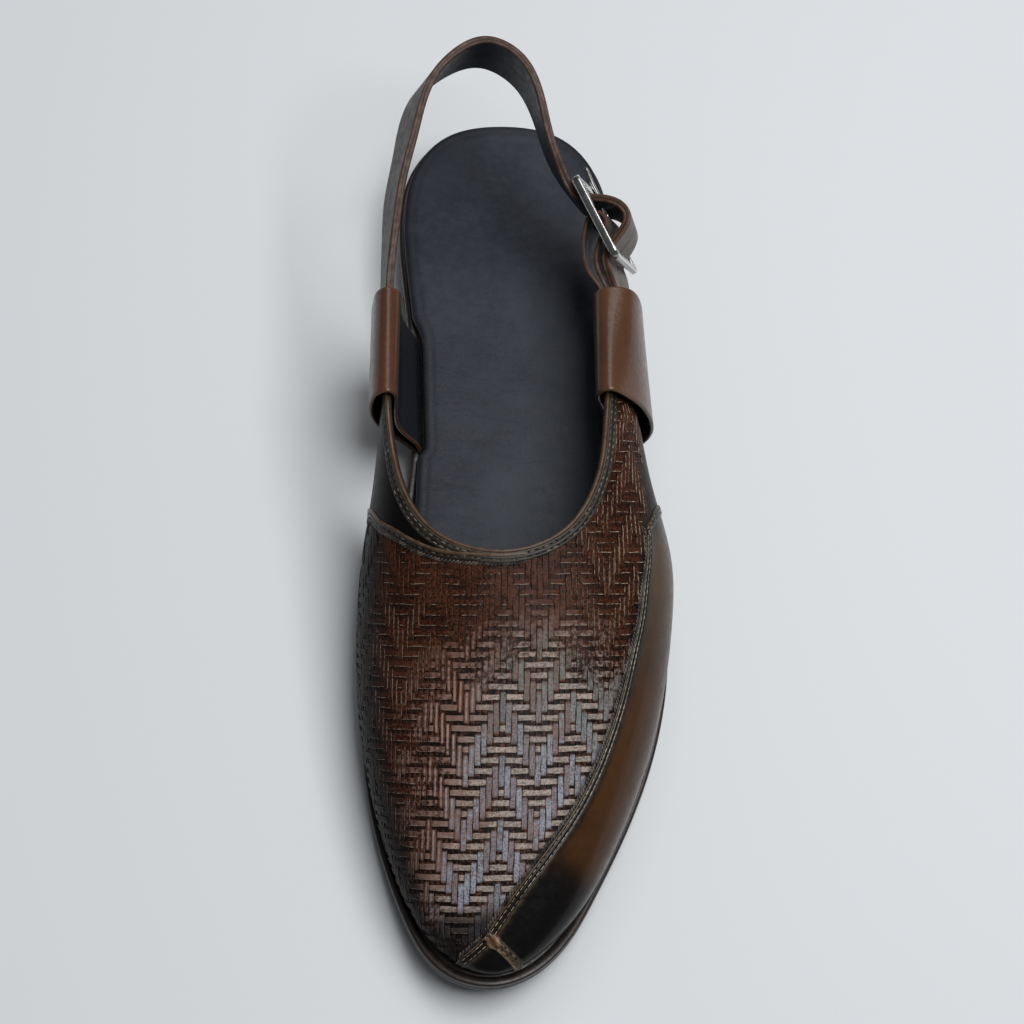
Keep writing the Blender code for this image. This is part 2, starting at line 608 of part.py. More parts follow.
def build_buckle_frame(frame, collection, material):
    """A flat frame with two windows, its edges rounded, turned to the buckle's axes."""
    half, pin = BUCKLE_BAR / 2.0, BUCKLE_PIN / 2.0
    middle = frame.length / 2.0
    outlines = (
        rounded_rectangle(-half, -half, frame.length + half, BUCKLE_HEIGHT + half, 2.6),
        rounded_rectangle(half, half, middle - pin, BUCKLE_HEIGHT - half, 0.9, 3),
        rounded_rectangle(middle + pin, half, frame.length - half, BUCKLE_HEIGHT - half, 0.9, 3),
    )
    curve = bpy.data.curves.new("buckle_frame", "CURVE")
    curve.dimensions = "2D"
    curve.fill_mode = "BOTH"
    curve.extrude = (BUCKLE_THICKNESS / 2.0 - BUCKLE_EDGE) * MM
    curve.bevel_depth = BUCKLE_EDGE * MM
    curve.offset = -BUCKLE_EDGE * MM
    curve.bevel_resolution = 1
    for outline in outlines:
        spline = curve.splines.new("POLY")
        spline.points.add(len(outline) - 1)
        for point, (x, y) in zip(spline.points, outline):
            point.co = (x * MM, y * MM, 0.0, 1.0)
        spline.use_cyclic_u = True
    curve.materials.append(material)
    buckle = bpy.data.objects.new("buckle_frame", curve)
    collection.objects.link(buckle)
    turn = Matrix((frame.along, frame.down, frame.along.cross(frame.down))).transposed().to_4x4()
    buckle.matrix_world = Matrix.Translation(frame.origin * MM) @ turn
    return buckle


def build_prong(frame, collection, material):
    """The prong: an eye round the centre bar, then a pin through the strap to its tip."""
    middle = frame.length / 2.0
    path = []
    for degrees in (70.0, 30.0, -10.0, -50.0, -90.0, -130.0, -170.0, -205.0, -235.0):
        angle = math.radians(degrees)
        path.append((middle + PRONG_EYE * math.cos(angle), PRONG_EYE * math.sin(angle)))
    points = smooth_curve((*path, *PRONG_PATH), 30)
    curve = bpy.data.curves.new("buckle_prong", "CURVE")
    curve.dimensions = "3D"
    curve.bevel_depth = PRONG_RADIUS * MM
    curve.bevel_resolution = 2
    curve.use_fill_caps = True
    spline = curve.splines.new("POLY")
    spline.points.add(len(points) - 1)
    for i, (along, out) in enumerate(points):
        spline.points[i].co = (*(frame.point(along, out, PRONG_DROP) * MM), 1.0)
    spline.points[len(points) - 1].radius = 0.55
    curve.materials.append(material)
    prong = bpy.data.objects.new("buckle_prong", curve)
    collection.objects.link(prong)
    return prong


# ---- assembly ------------------------------------------------------------------------------------
def main():
    for obj in list(bpy.data.objects):
        bpy.data.objects.remove(obj)
    parts = bpy.data.collections.new("slingback_shoe")
    cutters = bpy.data.collections.new("cutters")
    bpy.context.scene.collection.children.link(parts)
    bpy.context.scene.collection.children.link(cutters)

    sole_rubber = make_material("sole_rubber", (0.018, 0.017, 0.018), 0.45)
    insole_leather = make_material("insole_leather", (0.03, 0.034, 0.042), 0.55)
    woven_leather = make_material("woven_leather", (0.09, 0.045, 0.032), 0.38)
    loop_leather = make_material("loop_leather", (0.085, 0.04, 0.026), 0.4)
    strap_leather = make_material("strap_leather", (0.075, 0.045, 0.034), 0.42)
    steel = make_material("buckle_steel", (0.42, 0.42, 0.41), 0.28, 1.0)

    build_outsole(parts, sole_rubber)
    build_heel(parts, sole_rubber)
    build_insole(parts, cutters, insole_leather)
    build_upper(parts, woven_leather)
    build_loop("outer_loop", OUTER_LOOP, parts, loop_leather)
    build_loop("inner_loop", INNER_LOOP, parts, loop_leather)
    frame = BuckleFrame()
    build_strap(frame, parts, cutters, strap_leather)
    build_billet(frame, parts, cutters, strap_leather)
    build_buckle_frame(frame, parts, steel)
    build_prong(frame, parts, steel)


main()
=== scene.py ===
"""Looks of a man's left slingback shoe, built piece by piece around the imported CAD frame.

Lengths are millimetres until a piece is finished, when MM turns them into metres.
The origin is on the floor under the middle of the heel, +Z is up, the toe points
towards -Y and the outer side of the foot is +X.
"""
import logging
import math
import random
from dataclasses import dataclass
from enum import Enum
from typing import Callable, Optional, Sequence

import bmesh
import bpy
import numpy as np
from mathutils import Matrix, Vector

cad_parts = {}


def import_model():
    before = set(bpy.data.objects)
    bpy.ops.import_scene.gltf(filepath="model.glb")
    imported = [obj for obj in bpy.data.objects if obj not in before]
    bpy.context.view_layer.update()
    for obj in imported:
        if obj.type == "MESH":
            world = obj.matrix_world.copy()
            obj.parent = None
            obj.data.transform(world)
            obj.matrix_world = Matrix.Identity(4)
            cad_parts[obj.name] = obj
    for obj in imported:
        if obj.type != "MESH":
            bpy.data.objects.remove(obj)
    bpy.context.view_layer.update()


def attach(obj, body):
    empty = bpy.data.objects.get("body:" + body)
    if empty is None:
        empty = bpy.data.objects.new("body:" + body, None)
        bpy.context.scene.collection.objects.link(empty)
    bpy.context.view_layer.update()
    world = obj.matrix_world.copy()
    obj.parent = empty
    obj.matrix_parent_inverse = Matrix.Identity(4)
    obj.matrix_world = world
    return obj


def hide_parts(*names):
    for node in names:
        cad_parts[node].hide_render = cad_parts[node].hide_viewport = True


LOG = logging.getLogger("slingback_shoe")
MM = 0.001
TINY = 1e-6
Array = np.ndarray
Pair = tuple[float, float]
Triple = tuple[float, float, float]
Rows = Sequence[Sequence[float]]
Place = Callable[[Array, Array], Array]
Socket = bpy.types.NodeSocket

# ---- sizes shared with the frame (mm) ---------------------
GAP = 0.3
OUTSOLE_THICKNESS = 7.0
INSOLE_THICKNESS = 4.6
WALL = 1.8
TUCK_ANGLE = math.radians(62.0)
STRAIGHT_EAR = (-92.0, -74.0)
TOE_ROUND = (-222.0, 2.6)
COLLAR_CROWDING = 0.65

SOLE_OUTLINE: Rows = (
    (0.0, 35.4), (20.4, 30.6), (31.4, 18.0), (35.8, 0.0), (37.0, -45.0), (42.2, -95.0),
    (49.4, -135.0), (48.7, -168.0), (38.6, -205.0), (23.0, -237.5), (8.2, -259.0),
    (-9.0, -267.4), (-25.0, -263.2), (-37.8, -243.0), (-46.6, -212.0), (-50.2, -178.0),
    (-47.4, -140.0), (-36.6, -108.0), (-32.8, -82.0), (-34.4, -35.0), (-36.1, 0.0),
    (-31.8, 18.0), (-20.6, 30.8),
)
SOLE_PROFILE: Rows = (
    (-268.0, 9.6), (-240.0, 4.4), (-215.0, 1.3), (-188.0, 0.0), (-146.0, 0.0),
    (-122.0, 1.6), (-92.0, 5.8), (-60.0, 10.0), (-27.0, 12.0), (36.0, 12.0),
)
INSOLE_INSET: Rows = (
    (-268.0, 8.4), (-215.0, 7.0), (-170.0, 5.2), (-112.0, 4.8), (-95.0, 2.6),
    (-60.0, 1.6), (36.0, 1.5),
)
UPPER_OUTLINE: Rows = (  # wide_x, wide_y, foot_x, foot_y, lift
    (-43.0, -60.0, -42.9, -60.0, 21.6), (-43.8, -87.0, -43.5, -87.0, 24.6),
    (-44.8, -97.0, -44.1, -97.0, 18.6), (-46.2, -108.0, -43.6, -108.0, 8.6),
    (-48.0, -119.0, -39.6, -119.0, 0.8), (-50.1, -133.0, -44.0, -132.0, 0.0),
    (-51.4, -152.0, -47.9, -151.5, 0.0), (-51.0, -177.0, -49.1, -176.5, 0.0),
    (-47.8, -202.0, -46.7, -201.0, 0.0), (-42.2, -225.0, -41.2, -223.8, 0.0),
    (-34.4, -245.5, -33.5, -244.0, 0.0), (-23.6, -259.3, -23.2, -257.6, 0.0),
    (-10.0, -264.6, -10.0, -262.8, 0.0), (4.0, -258.3, 3.2, -256.9, 0.0),
    (16.4, -245.6, 15.3, -244.6, 0.0), (29.4, -223.2, 28.2, -222.4, 0.0),
    (40.1, -197.0, 38.9, -196.5, 0.0), (46.7, -172.5, 45.3, -172.2, 0.0),
    (50.0, -150.0, 47.9, -150.0, 0.0), (50.5, -132.0, 47.7, -132.0, 0.0),
    (48.0, -119.0, 45.4, -119.0, 0.8), (44.7, -108.0, 44.0, -108.0, 9.0),
    (42.0, -97.0, 41.8, -97.0, 19.6), (39.9, -87.0, 39.8, -87.0, 25.6),
    (37.9, -73.0, 37.8, -73.0, 23.6), (36.0, -58.0, 36.0, -58.0, 21.6),
)
COLLAR: Rows = (
    (-41.9, -60.0), (-42.2, -87.0), (-39.6, -108.5), (-35.2, -122.5), (-27.0, -133.8),
    (-16.0, -139.8), (-5.0, -141.0), (5.5, -138.4), (13.8, -133.0), (21.0, -123.0),
    (25.6, -110.0), (28.5, -87.0), (30.6, -73.0), (32.6, -58.0),
)
LAST_SECTIONS: Rows = (  # y, ridge_x, ridge_z, inner_z, outer_z, inner_square, outer_square
    (-266.0, -10.0, 25.0, 19.5, 19.5, 2.3, 2.3), (-250.0, -9.5, 31.0, 18.0, 18.0, 2.3, 2.3),
    (-220.0, -8.0, 40.0, 16.0, 16.0, 2.25, 2.2), (-168.0, -6.5, 52.4, 17.5, 17.5, 2.1, 2.1),
    (-140.0, -6.0, 59.2, 21.5, 21.0, 2.15, 2.05), (-121.0, -6.0, 63.2, 25.5, 24.0, 2.4, 2.0),
    (-108.0, -6.0, 65.8, 29.5, 29.0, 2.7, 2.0), (-97.0, -6.0, 67.8, 34.0, 35.0, 3.2, 1.9),
    (-87.0, -6.0, 68.0, 39.0, 40.0, 3.8, 1.9), (-58.0, -6.0, 67.0, 41.0, 41.0, 4.0, 2.9),
)


class Slot(str, Enum):
    """Names of material slots."""

    SOLE = "sole_rubber"
    INSOLE = "insole_leather"
    WOVEN = "woven_leather"
    LOOP = "loop_leather"
    STRAP = "strap_leather"
    STEEL = "buckle_steel"


# ---- curves and tables ------------------------------------
def distances(points: Array) -> Array:
    """How far along the line through them each of the points lies."""
    return np.concatenate(([0.0], np.cumsum(np.linalg.norm(np.diff(points, axis=0), axis=1))))


def rows_at(places: Array, stations: Array, table: Array) -> Array:
    """Rows of a table at places between its stations, joined by straight lines."""
    return np.column_stack([np.interp(places, stations, column) for column in table.T])


def evenly(count: int) -> Array:
    """Numbers from 0 to 1, evenly spaced."""
    return np.linspace(0.0, 1.0, count)


def along_table(share: Array, table: Array) -> Array:
    """Rows of a table at shares of the way from its first row to its last."""
    return rows_at(share, evenly(len(table)), table)


def spline_bend(knots: Array, values: Array, closed: bool) -> Array:
    """Second derivatives of a cubic spline, natural at its ends or periodic.

    Args:
        knots: places of the rows along the curve.
        values: the rows.
        closed: whether the last row repeats the first.

    Returns:
        One row of second derivatives per knot.
    """
    count = len(knots)
    steps = np.diff(knots)
    slopes = np.diff(values, axis=0) / steps[:, None]
    matrix = np.eye(count)
    right = np.zeros_like(values)
    for i in range(1, count - 1):
        matrix[i, i - 1:i + 2] = (steps[i - 1], 2.0 * (steps[i - 1] + steps[i]), steps[i])
        right[i] = 6.0 * (slopes[i] - slopes[i - 1])
    if closed:
        matrix[0, 0], matrix[0, -1] = 1.0, -1.0
        matrix[-1] = 0.0
        matrix[-1, [0, 1, -2, -1]] = (2.0 * steps[0], steps[0], steps[-1], 2.0 * steps[-1])
        right[-1] = 6.0 * (slopes[0] - slopes[-1])
    return np.linalg.solve(matrix, right)


def smooth_curve(rows: Rows, count: int, closed: bool = False, dims: int = 2) -> Array:
    """Evenly spaced rows along a cubic spline through the given rows.

    Args:
        rows: points, with further columns that follow along.
        count: number of rows wanted.
        closed: whether the curve returns to its start.
        dims: how many columns the spacing is measured on.

    Returns:
        The rows, one per point.
    """
    table = np.array(rows, dtype=float)
    if closed:
        table = np.vstack((table, table[:1]))
    knots = distances(table[:, :dims])
    bend = spline_bend(knots, table, closed)
    fine = np.linspace(0.0, knots[-1], 24 * len(table))
    span = np.clip(np.searchsorted(knots, fine, side="right") - 1, 0, len(knots) - 2)
    step = (knots[span + 1] - knots[span])[:, None]
    a = (knots[span + 1] - fine)[:, None] / step
    b = 1.0 - a
    points = (a * table[span] + b * table[span + 1]
              + ((a ** 3 - a) * bend[span] + (b ** 3 - b) * bend[span + 1]) * step ** 2 / 6.0)
    run = distances(points[:, :dims])
    wanted = np.linspace(0.0, run[-1], count + 1 if closed else count)
    result = rows_at(wanted, run, points)
    return result[:-1] if closed else result


def table_at(rows: Rows, y: Array) -> Array:
    """Columns of a table at stations y, joined by monotone cubics, so flats stay flat.

    Args:
        rows: the table, its first column the stations in rising order.
        y: stations wanted.

    Returns:
        One row per station, without the first column.
    """
    table = np.array(rows, dtype=float)
    stations, values = table[:, 0], table[:, 1:]
    y = np.clip(np.atleast_1d(np.asarray(y, dtype=float)), stations[0], stations[-1])
    steps = np.diff(stations)[:, None]
    slopes = np.diff(values, axis=0) / steps
    tangents = np.zeros_like(values)
    same = slopes[:-1] * slopes[1:] > 0.0
    total = np.where(same, slopes[:-1] + slopes[1:], 1.0)
    tangents[1:-1] = np.where(same, 2.0 * slopes[:-1] * slopes[1:] / total, 0.0)
    tangents[0], tangents[-1] = slopes[0], slopes[-1]
    i = np.clip(np.searchsorted(stations, y, side="right") - 1, 0, len(steps) - 1)
    h = steps[i]
    t = (y - stations[i])[:, None] / h
    return (values[i] * (2 * t ** 3 - 3 * t ** 2 + 1) + values[i + 1] * (3 * t ** 2 - 2 * t ** 3)
            + h * tangents[i] * (t ** 3 - 2 * t ** 2 + t) + h * tangents[i + 1] * (t ** 3 - t ** 2))


def smooth_step(value: Array, low: float, high: float) -> Array:
    """0 at low, 1 at high and an S between them; low may be the larger number."""
    t = np.clip((np.asarray(value, dtype=float) - low) / (high - low), 0.0, 1.0)
    return t * t * (3.0 - 2.0 * t)


def sole_top(y: Array) -> Array:
    """Height of the outsole's upper face at stations y."""
    return table_at(SOLE_PROFILE, y)[:, 0] + OUTSOLE_THICKNESS


def unit(vectors: Array) -> Array:
    """Rows of an array brought to length one."""
    return vectors / np.maximum(np.linalg.norm(vectors, axis=-1, keepdims=True), 1e-12)


def between(table: Array, row: Array, column: Array, beyond: bool = False) -> Array:
    """Values of a grid between its rows and columns.

    Args:
        table: the grid, with further axes that follow along.
        row: places along its first axis.
        column: places along its second axis.
        beyond: whether columns past the ends run straight on, instead of stopping there.

    Returns:
        One value, or row of values, per place.
    """
    rows, columns = table.shape[:2]
    row = np.clip(row, 0.0, rows - 1.0)
    if not beyond:
        column = np.clip(column, 0.0, columns - 1.0)
    i = np.clip(row.astype(int), 0, rows - 2)
    j = np.clip(np.floor(column).astype(int), 0, columns - 2)
    spread = (...,) + (None,) * (table.ndim - 2)
    f, g = (row - i)[spread], (column - j)[spread]
    near = table[i, j] * (1.0 - g) + table[i, j + 1] * g
    far = table[i + 1, j] * (1.0 - g) + table[i + 1, j + 1] * g
    return near * (1.0 - f) + far * f


# ---- the last ---------------------------------------------
class Last:
    """The surface that the upper is drawn over."""

    OUTLINE_POINTS = 601
    EDGE_SAMPLES = 90      # points of a line over the last, above the widest line
    CHART_SAMPLES = 110

    def __init__(self) -> None:
        """Smooths the outline and the collar, and parts each into an inner and an outer side."""
        outline = smooth_curve(UPPER_OUTLINE, self.OUTLINE_POINTS)
        self.outline = outline
        self.scale = np.linspace(-1.0, 1.0, len(outline))
        tip = int(np.argmin(outline[:, 1]))
        self.tip_y = float(outline[tip, 1])
        self.sides = {-1: outline[:tip + 1][::-1], 1: outline[tip:]}
        self.collar = smooth_curve(COLLAR, self.OUTLINE_POINTS)
        front = int(np.argmin(self.collar[:, 1]))
        self.collar_sides = {-1: self.collar[:front + 1][::-1], 1: self.collar[front:]}

    @staticmethod
    def _by_side(sides: dict[int, Array], inner: Array, y: Array, column: int,
                 station: int) -> Array:
        """A column of an edge's table at stations y, from its inner or its outer side."""
        ends = [np.interp(y, sides[s][:, station], sides[s][:, column]) for s in (-1, 1)]
        return np.where(inner, *ends)

    def section(self, inner: Array, y: Array) -> tuple[Array, ...]:
        """Ridge x, crown z, widest x, widest z and squareness of one side at stations y.

        Args:
            inner: which points are on the inner side.
            y: stations along the foot.

        Returns:
            Those five numbers for every point.
        """
        ridge_x, ridge_z, inner_z, outer_z, inner_sq, outer_sq = table_at(LAST_SECTIONS, y).T
        wide_z = np.where(inner, inner_z, outer_z)
        square = np.where(inner, inner_sq, outer_sq)
        start, power = TOE_ROUND
        q = np.clip((start - y) / (start - self.tip_y), 0.0, 1.0)
        crown = wide_z + (ridge_z - wide_z) * (1.0 - q ** power) ** (1.0 / power)
        return ridge_x, crown, self._by_side(self.sides, inner, y, 0, 1), wide_z, square

    def height(self, x: Array, y: Array) -> Array:
        """Height of the last above points of the plan, with the ears' sides flat.

        Args:
            x: across the foot.
            y: along the foot.

        Returns:
            Heights.
        """
        inner = x < table_at(LAST_SECTIONS, y)[:, 0]
        ridge_x, crown, wide_x, wide_z, square = self.section(inner, y)
        reach = np.where(np.abs(wide_x - ridge_x) < TINY, 1.0, wide_x - ridge_x)

        def raw(across: Array) -> Array:
            """Height of the rounded section, before the ears are flattened."""
            q = np.clip(np.abs((across - ridge_x) / reach), 0.0, 1.0)
            return wide_z + (crown - wide_z) * (1.0 - q ** square) ** (1.0 / square)

        z = raw(x)
        start, end = STRAIGHT_EAR
        flat = np.clip((y - start) / (end - start), 0.0, 1.0)
        top_x = self._by_side(self.collar_sides, inner, y, 0, 1)
        share = (x - top_x) / np.where(np.abs(wide_x - top_x) < TINY, 1.0, wide_x - top_x)
        top_z = raw(top_x)
        line = top_z + (wide_z - top_z) * np.clip(share, 0.0, 1.0)
        return np.where(share > 0.0, z + (line - z) * flat, z)

    def station(self, k: Array, y: Array) -> Array:
        """Points round the section at y: k is 0 on the ridge, 1 at the widest, 2 at the lower edge.

        Args:
            k: place round the section, negative on the inner side.
            y: stations along the foot.

        Returns:
            Points, one row each.
        """
        inner = k < 0.0
        ridge_x, _, wide_x, wide_z, _ = self.section(inner, y)
        q = np.sin(0.5 * math.pi * np.clip(np.abs(k), 0.0, 1.0))
        x = ridge_x + (wide_x - ridge_x) * q
        z = self.height(x, y)
        foot_x = self._by_side(self.sides, inner, y, 2, 3)
        lift = np.maximum(self._by_side(self.sides, inner, y, 4, 3), 0.0)
        foot_z = sole_top(y) + GAP + lift
        angle = TUCK_ANGLE * np.clip(np.abs(k) - 1.0, 0.0, 1.0)
        x = x + (foot_x - wide_x) * (1.0 - np.cos(angle)) / (1.0 - math.cos(TUCK_ANGLE))
        z = np.where(np.abs(k) > 1.0, wide_z + (foot_z - wide_z) * np.sin(angle) / math.sin(TUCK_ANGLE), z)
        return np.column_stack((x, y, z))

    def share(self, x: Array, y: Array) -> Array:
        """The k of points of the plan.

        Args:
            x: across the foot.
            y: along the foot.

        Returns:
            Places round the section, negative on the inner side.
        """
        inner = x < table_at(LAST_SECTIONS, y)[:, 0]
        ridge_x, _, wide_x, _, _ = self.section(inner, y)
        q = np.clip(np.abs((x - ridge_x) / (wide_x - ridge_x)), 0.0, 1.0)
        return np.where(inner, -1.0, 1.0) * np.arcsin(q) / (0.5 * math.pi)

    def edge_lines(self, top: Array, w: Array) -> Array:
        """Lines over the last from points of the plan to the lower edge at places w of the outline.

        Args:
            top: plan points where the lines start.
            w: places on the outline where they end, from -1 at the inner ear to 1 at the outer.

        Returns:
            Points as (line, sample, xyz).
        """
        wide_x, wide_y, foot_x, foot_y, lift = (np.interp(w, self.scale, c) for c in self.outline.T)
        start, end = STRAIGHT_EAR
        flat = np.clip((wide_y - start) / (end - start), 0.0, 1.0)
        top_z = self.height(top[:, 0], top[:, 1])
        wide_z = self.height(wide_x, wide_y)
        lines = []
        for s in np.sin(0.5 * math.pi * evenly(self.EDGE_SAMPLES)):
            x = top[:, 0] + (wide_x - top[:, 0]) * s
            y = top[:, 1] + (wide_y - top[:, 1]) * s
            z = self.height(x, y)
            lines.append(np.column_stack((x, y, z + (top_z + (wide_z - top_z) * s - z) * flat)))
        foot_z = sole_top(foot_y) + GAP + np.maximum(lift, 0.0)
        for angle in np.linspace(0.0, TUCK_ANGLE, self.EDGE_SAMPLES // 3)[1:]:
            inward = (1.0 - math.cos(angle)) / (1.0 - math.cos(TUCK_ANGLE))
            down = math.sin(angle) / math.sin(TUCK_ANGLE)
            lines.append(np.column_stack((
                wide_x + (foot_x - wide_x) * inward, wide_y + (foot_y - wide_y) * inward,
                wide_z + (foot_z - wide_z) * down)))
        return np.array(lines).transpose(1, 0, 2)

    def chart_lines(self, top: Array, bottom: Array) -> Array:
        """Lines over the last between two runs of (k, y) places, as (line, sample, xyz)."""
        lines = [self.station(*(top + (bottom - top) * s).T)
                 for s in evenly(self.CHART_SAMPLES)]
        return np.array(lines).transpose(1, 0, 2)


class Swath:
    """A band of surface beside a seam, addressed by place along the seam and distance from it."""

    def __init__(self, lines: Array, samples: int = 160,
                 core: Triple = (-6.0, -130.0, 15.0)) -> None:
        """Spaces each line's points evenly and works out the outward normals.

        Args:
            lines: points as (line, sample, xyz), each line leaving the seam.
            samples: points per line in the table that is kept.
            core: a point that the normals point away from.
        """
        table, widths = [], []
        for line in lines:
            run = distances(line)
            wanted = np.linspace(0.0, run[-1], samples)
            table.append(rows_at(wanted, run, line))
            widths.append(run[-1])
        self.table = np.array(table)
        self.widths = np.array(widths)
        normals = unit(np.cross(np.gradient(self.table, axis=0), np.gradient(self.table, axis=1)))
        away = self.table - np.array(core)
        away[..., 1] *= 0.3
        if np.sum(normals * away) < 0.0:
            normals = -normals
        self.normals = normals
        seam = self.table[:, 0]
        self.run = distances(seam)

    @property
    def length(self) -> float:
        """Length of the seam."""
        return float(self.run[-1])

    def width(self, u: Array) -> Array:
        """Width of the band at places u."""
        return np.interp(u, evenly(len(self.widths)), self.widths)

    def at(self, u: Array, distance: Array, lift: Array) -> Array:
        """Points at share u of the seam, at a distance from it and a height over the surface.

        Args:
            u: 0 to 1 along the seam.
            distance: from the seam; below 0 runs on past it.
            lift: over the surface.

        Returns:
            Points, one row each.
        """
        u = np.atleast_1d(np.asarray(u, dtype=float))
        lines, samples = self.table.shape[:2]
        line = u * (lines - 1)
        sample = np.broadcast_to(distance, u.shape) / self.width(u) * (samples - 1)
        normal = unit(between(self.normals, line, sample))
        return between(self.table, line, sample, True) + normal * np.broadcast_to(lift, u.shape)[:, None]


# ---- node trees -------------------------------------------
class Paint:
    """Short names for the nodes of one material."""

    def __init__(self, name: str) -> None:
        """Makes a new material with its shader.

        Args:
            name: name of the material.
        """
        self.material = bpy.data.materials.new(name)
        self.material.use_nodes = True
        self.tree = self.material.node_tree
        self.shader = self.tree.nodes["Principled BSDF"]
        self.object_coordinates = self.add("ShaderNodeTexCoord").outputs["Object"]

    def add(self, kind: str, **settings: object) -> bpy.types.Node:
        """A new node with some of its settings made.

        Args:
            kind: type of the node.
            settings: its settings, by name.

        Returns:
            The node.
        """
        node = self.tree.nodes.new(kind)
        for key, value in settings.items():
            setattr(node, key, value)
        return node

    def feed(self, socket: Socket, value: object) -> None:
        """Links a socket, or sets its value.

        Args:
            socket: input to feed.
            value: an output, a colour or a number.
        """
        if isinstance(value, Socket):
            self.tree.links.new(value, socket)
        elif isinstance(value, tuple) and socket.type == "RGBA":
            socket.default_value = (*value[:3], 1.0)
        else:
            socket.default_value = value

    def shape(self, **values: object) -> None:
        """Sets or links the shader's sockets, underscores standing for spaces."""
        for key, value in values.items():
            self.feed(self.shader.inputs[key.replace("_", " ")], value)

    def attribute(self, name: str) -> Socket:
        """A number painted on the piece's points."""
        return self.add("ShaderNodeAttribute", attribute_name=name).outputs["Fac"]

    def uv(self) -> Socket:
        """The piece's own UV map."""
        return self.add("ShaderNodeUVMap", uv_map="UVMap").outputs["UV"]

    def mapped(self, scale: Triple, source: Optional[Socket] = None,
               turn: float = 0.0) -> Socket:
        """Coordinates stretched by a scale, and turned about Z.

        Args:
            scale: stretch along each axis.
            source: the coordinates, the object's own if none.
            turn: angle in radians.

        Returns:
            The coordinates.
        """
        node = self.add("ShaderNodeMapping")
        self.feed(node.inputs["Vector"], source or self.object_coordinates)
        node.inputs["Scale"].default_value = scale
        node.inputs["Rotation"].default_value = (0.0, 0.0, turn)
        return node.outputs["Vector"]

    def noise(self, scale: float, detail: float, roughness: float = 0.55,
              vector: Optional[Socket] = None, distortion: float = 0.0) -> Socket:
        """Cloudy noise between 0 and 1.

        Args:
            scale: how fine it is, per metre.
            detail: finer layers laid over it.
            roughness: how strong they are.
            vector: its coordinates, the object's own if none.
            distortion: how far it swirls.

        Returns:
            The noise.
        """
        node = self.add("ShaderNodeTexNoise")
        self.feed(node.inputs["Vector"], vector or self.object_coordinates)
        for key, value in (("Scale", scale), ("Detail", detail), ("Roughness", roughness),
                           ("Distortion", distortion)):
            node.inputs[key].default_value = value
        return node.outputs["Fac"]

    def pebbles(self, scale: float) -> Socket:
        """Rounded height inside a pattern of cells, as pebble grain has.

        Args:
            scale: how fine the cells are, per metre.

        Returns:
            The height, from 0 to 1.
        """
        node = self.add("ShaderNodeTexVoronoi")
        self.feed(node.inputs["Vector"], self.object_coordinates)
        node.inputs["Scale"].default_value = scale
        return self.band(node.outputs["Distance"], 0.0, 0.8)

    def band(self, value: Socket, low: float, high: float, to_low: float = 0.0,
             to_high: float = 1.0) -> Socket:
        """A number brought from one range to another along an S, and kept inside it.

        Args:
            value: the number.
            low: start of its range.
            high: end of its range.
            to_low: start of the new range.
            to_high: end of the new range.

        Returns:
            The new number.
        """
        node = self.add("ShaderNodeMapRange", interpolation_type="SMOOTHSTEP", clamp=True)
        self.feed(node.inputs["Value"], value)
        limits = {"From Min": low, "From Max": high, "To Min": to_low, "To Max": to_high}
        for key, number in limits.items():
            node.inputs[key].default_value = number
        return node.outputs["Result"]

    def varied(self, pattern: Socket, middle: float, less: float, more: float) -> Socket:
        """A number that follows a noise, from a little less than its middle to a little more."""
        return self.band(pattern, 0.25, 0.75, middle - less, middle + more)

    def sum(self, operation: str, a: object, b: object = 0.0, clamp: bool = False) -> Socket:
        """One sum of two numbers.

        Args:
            operation: the node's name for it.
            a: first number.
            b: second number.
            clamp: whether it is kept between 0 and 1.

        Returns:
            The result.
        """
        node = self.add("ShaderNodeMath", operation=operation, use_clamp=clamp)
        self.feed(node.inputs[0], a)
        self.feed(node.inputs[1], b)
        return node.outputs[0]

    def product(self, first: object, *others: object) -> Socket:
        """Numbers multiplied."""
        for other in others:
            first = self.sum("MULTIPLY", first, other)
        return first

    def plus(self, a: object, b: object, clamp: bool = False) -> Socket:
        """Two numbers added."""
        return self.sum("ADD", a, b, clamp)

    def mix(self, factor: object, a: object, b: object) -> Socket:
        """Two colours mixed.

        Args:
            factor: share of the second.
            a: first colour.
            b: second colour.

        Returns:
            The colour.
        """
        node = self.add("ShaderNodeMix", data_type="RGBA")
        for socket, value in ((0, factor), (6, a), (7, b)):
            self.feed(node.inputs[socket], value)
        return node.outputs[2]

    def bump(self, height: Socket, distance: float, strength: float = 1.0,
             under: Optional[Socket] = None) -> Socket:
        """A normal from a height; distance is in millimetres.

        Args:
            height: height from 0 to 1.
            distance: what a height of 1 stands for.
            strength: share of it that shows.
            under: the normal it is laid over.

        Returns:
            The normal.
        """
        node = self.add("ShaderNodeBump")
        self.feed(node.inputs["Height"], height)
        node.inputs["Distance"].default_value = distance * MM
        node.inputs["Strength"].default_value = strength
        if under is not None:
            self.feed(node.inputs["Normal"], under)
        return node.outputs["Normal"]

    def axis(self, name: str) -> Socket:
        """X, Y or Z of the object coordinates."""
        node = self.add("ShaderNodeSeparateXYZ")
        self.feed(node.inputs[0], self.object_coordinates)
        return node.outputs[name]


Colour = Triple


def shade(colour: Colour, share: float) -> Colour:
    """A colour made darker, or lighter where the share is above 1."""
    return tuple(share * channel for channel in colour)


@dataclass(frozen=True)
class Finish:
    """A material, made once under its name."""

    name: str

    def material(self) -> bpy.types.Material:
        """The material, painted when it is first asked for.

        Returns:
            The material.
        """
        if self.name in bpy.data.materials:
            return bpy.data.materials[self.name]
        paint = Paint(self.name)
        self.paint(paint)
        return paint.material

    def paint(self, p: Paint) -> None:
        """Builds the nodes."""
        raise NotImplementedError


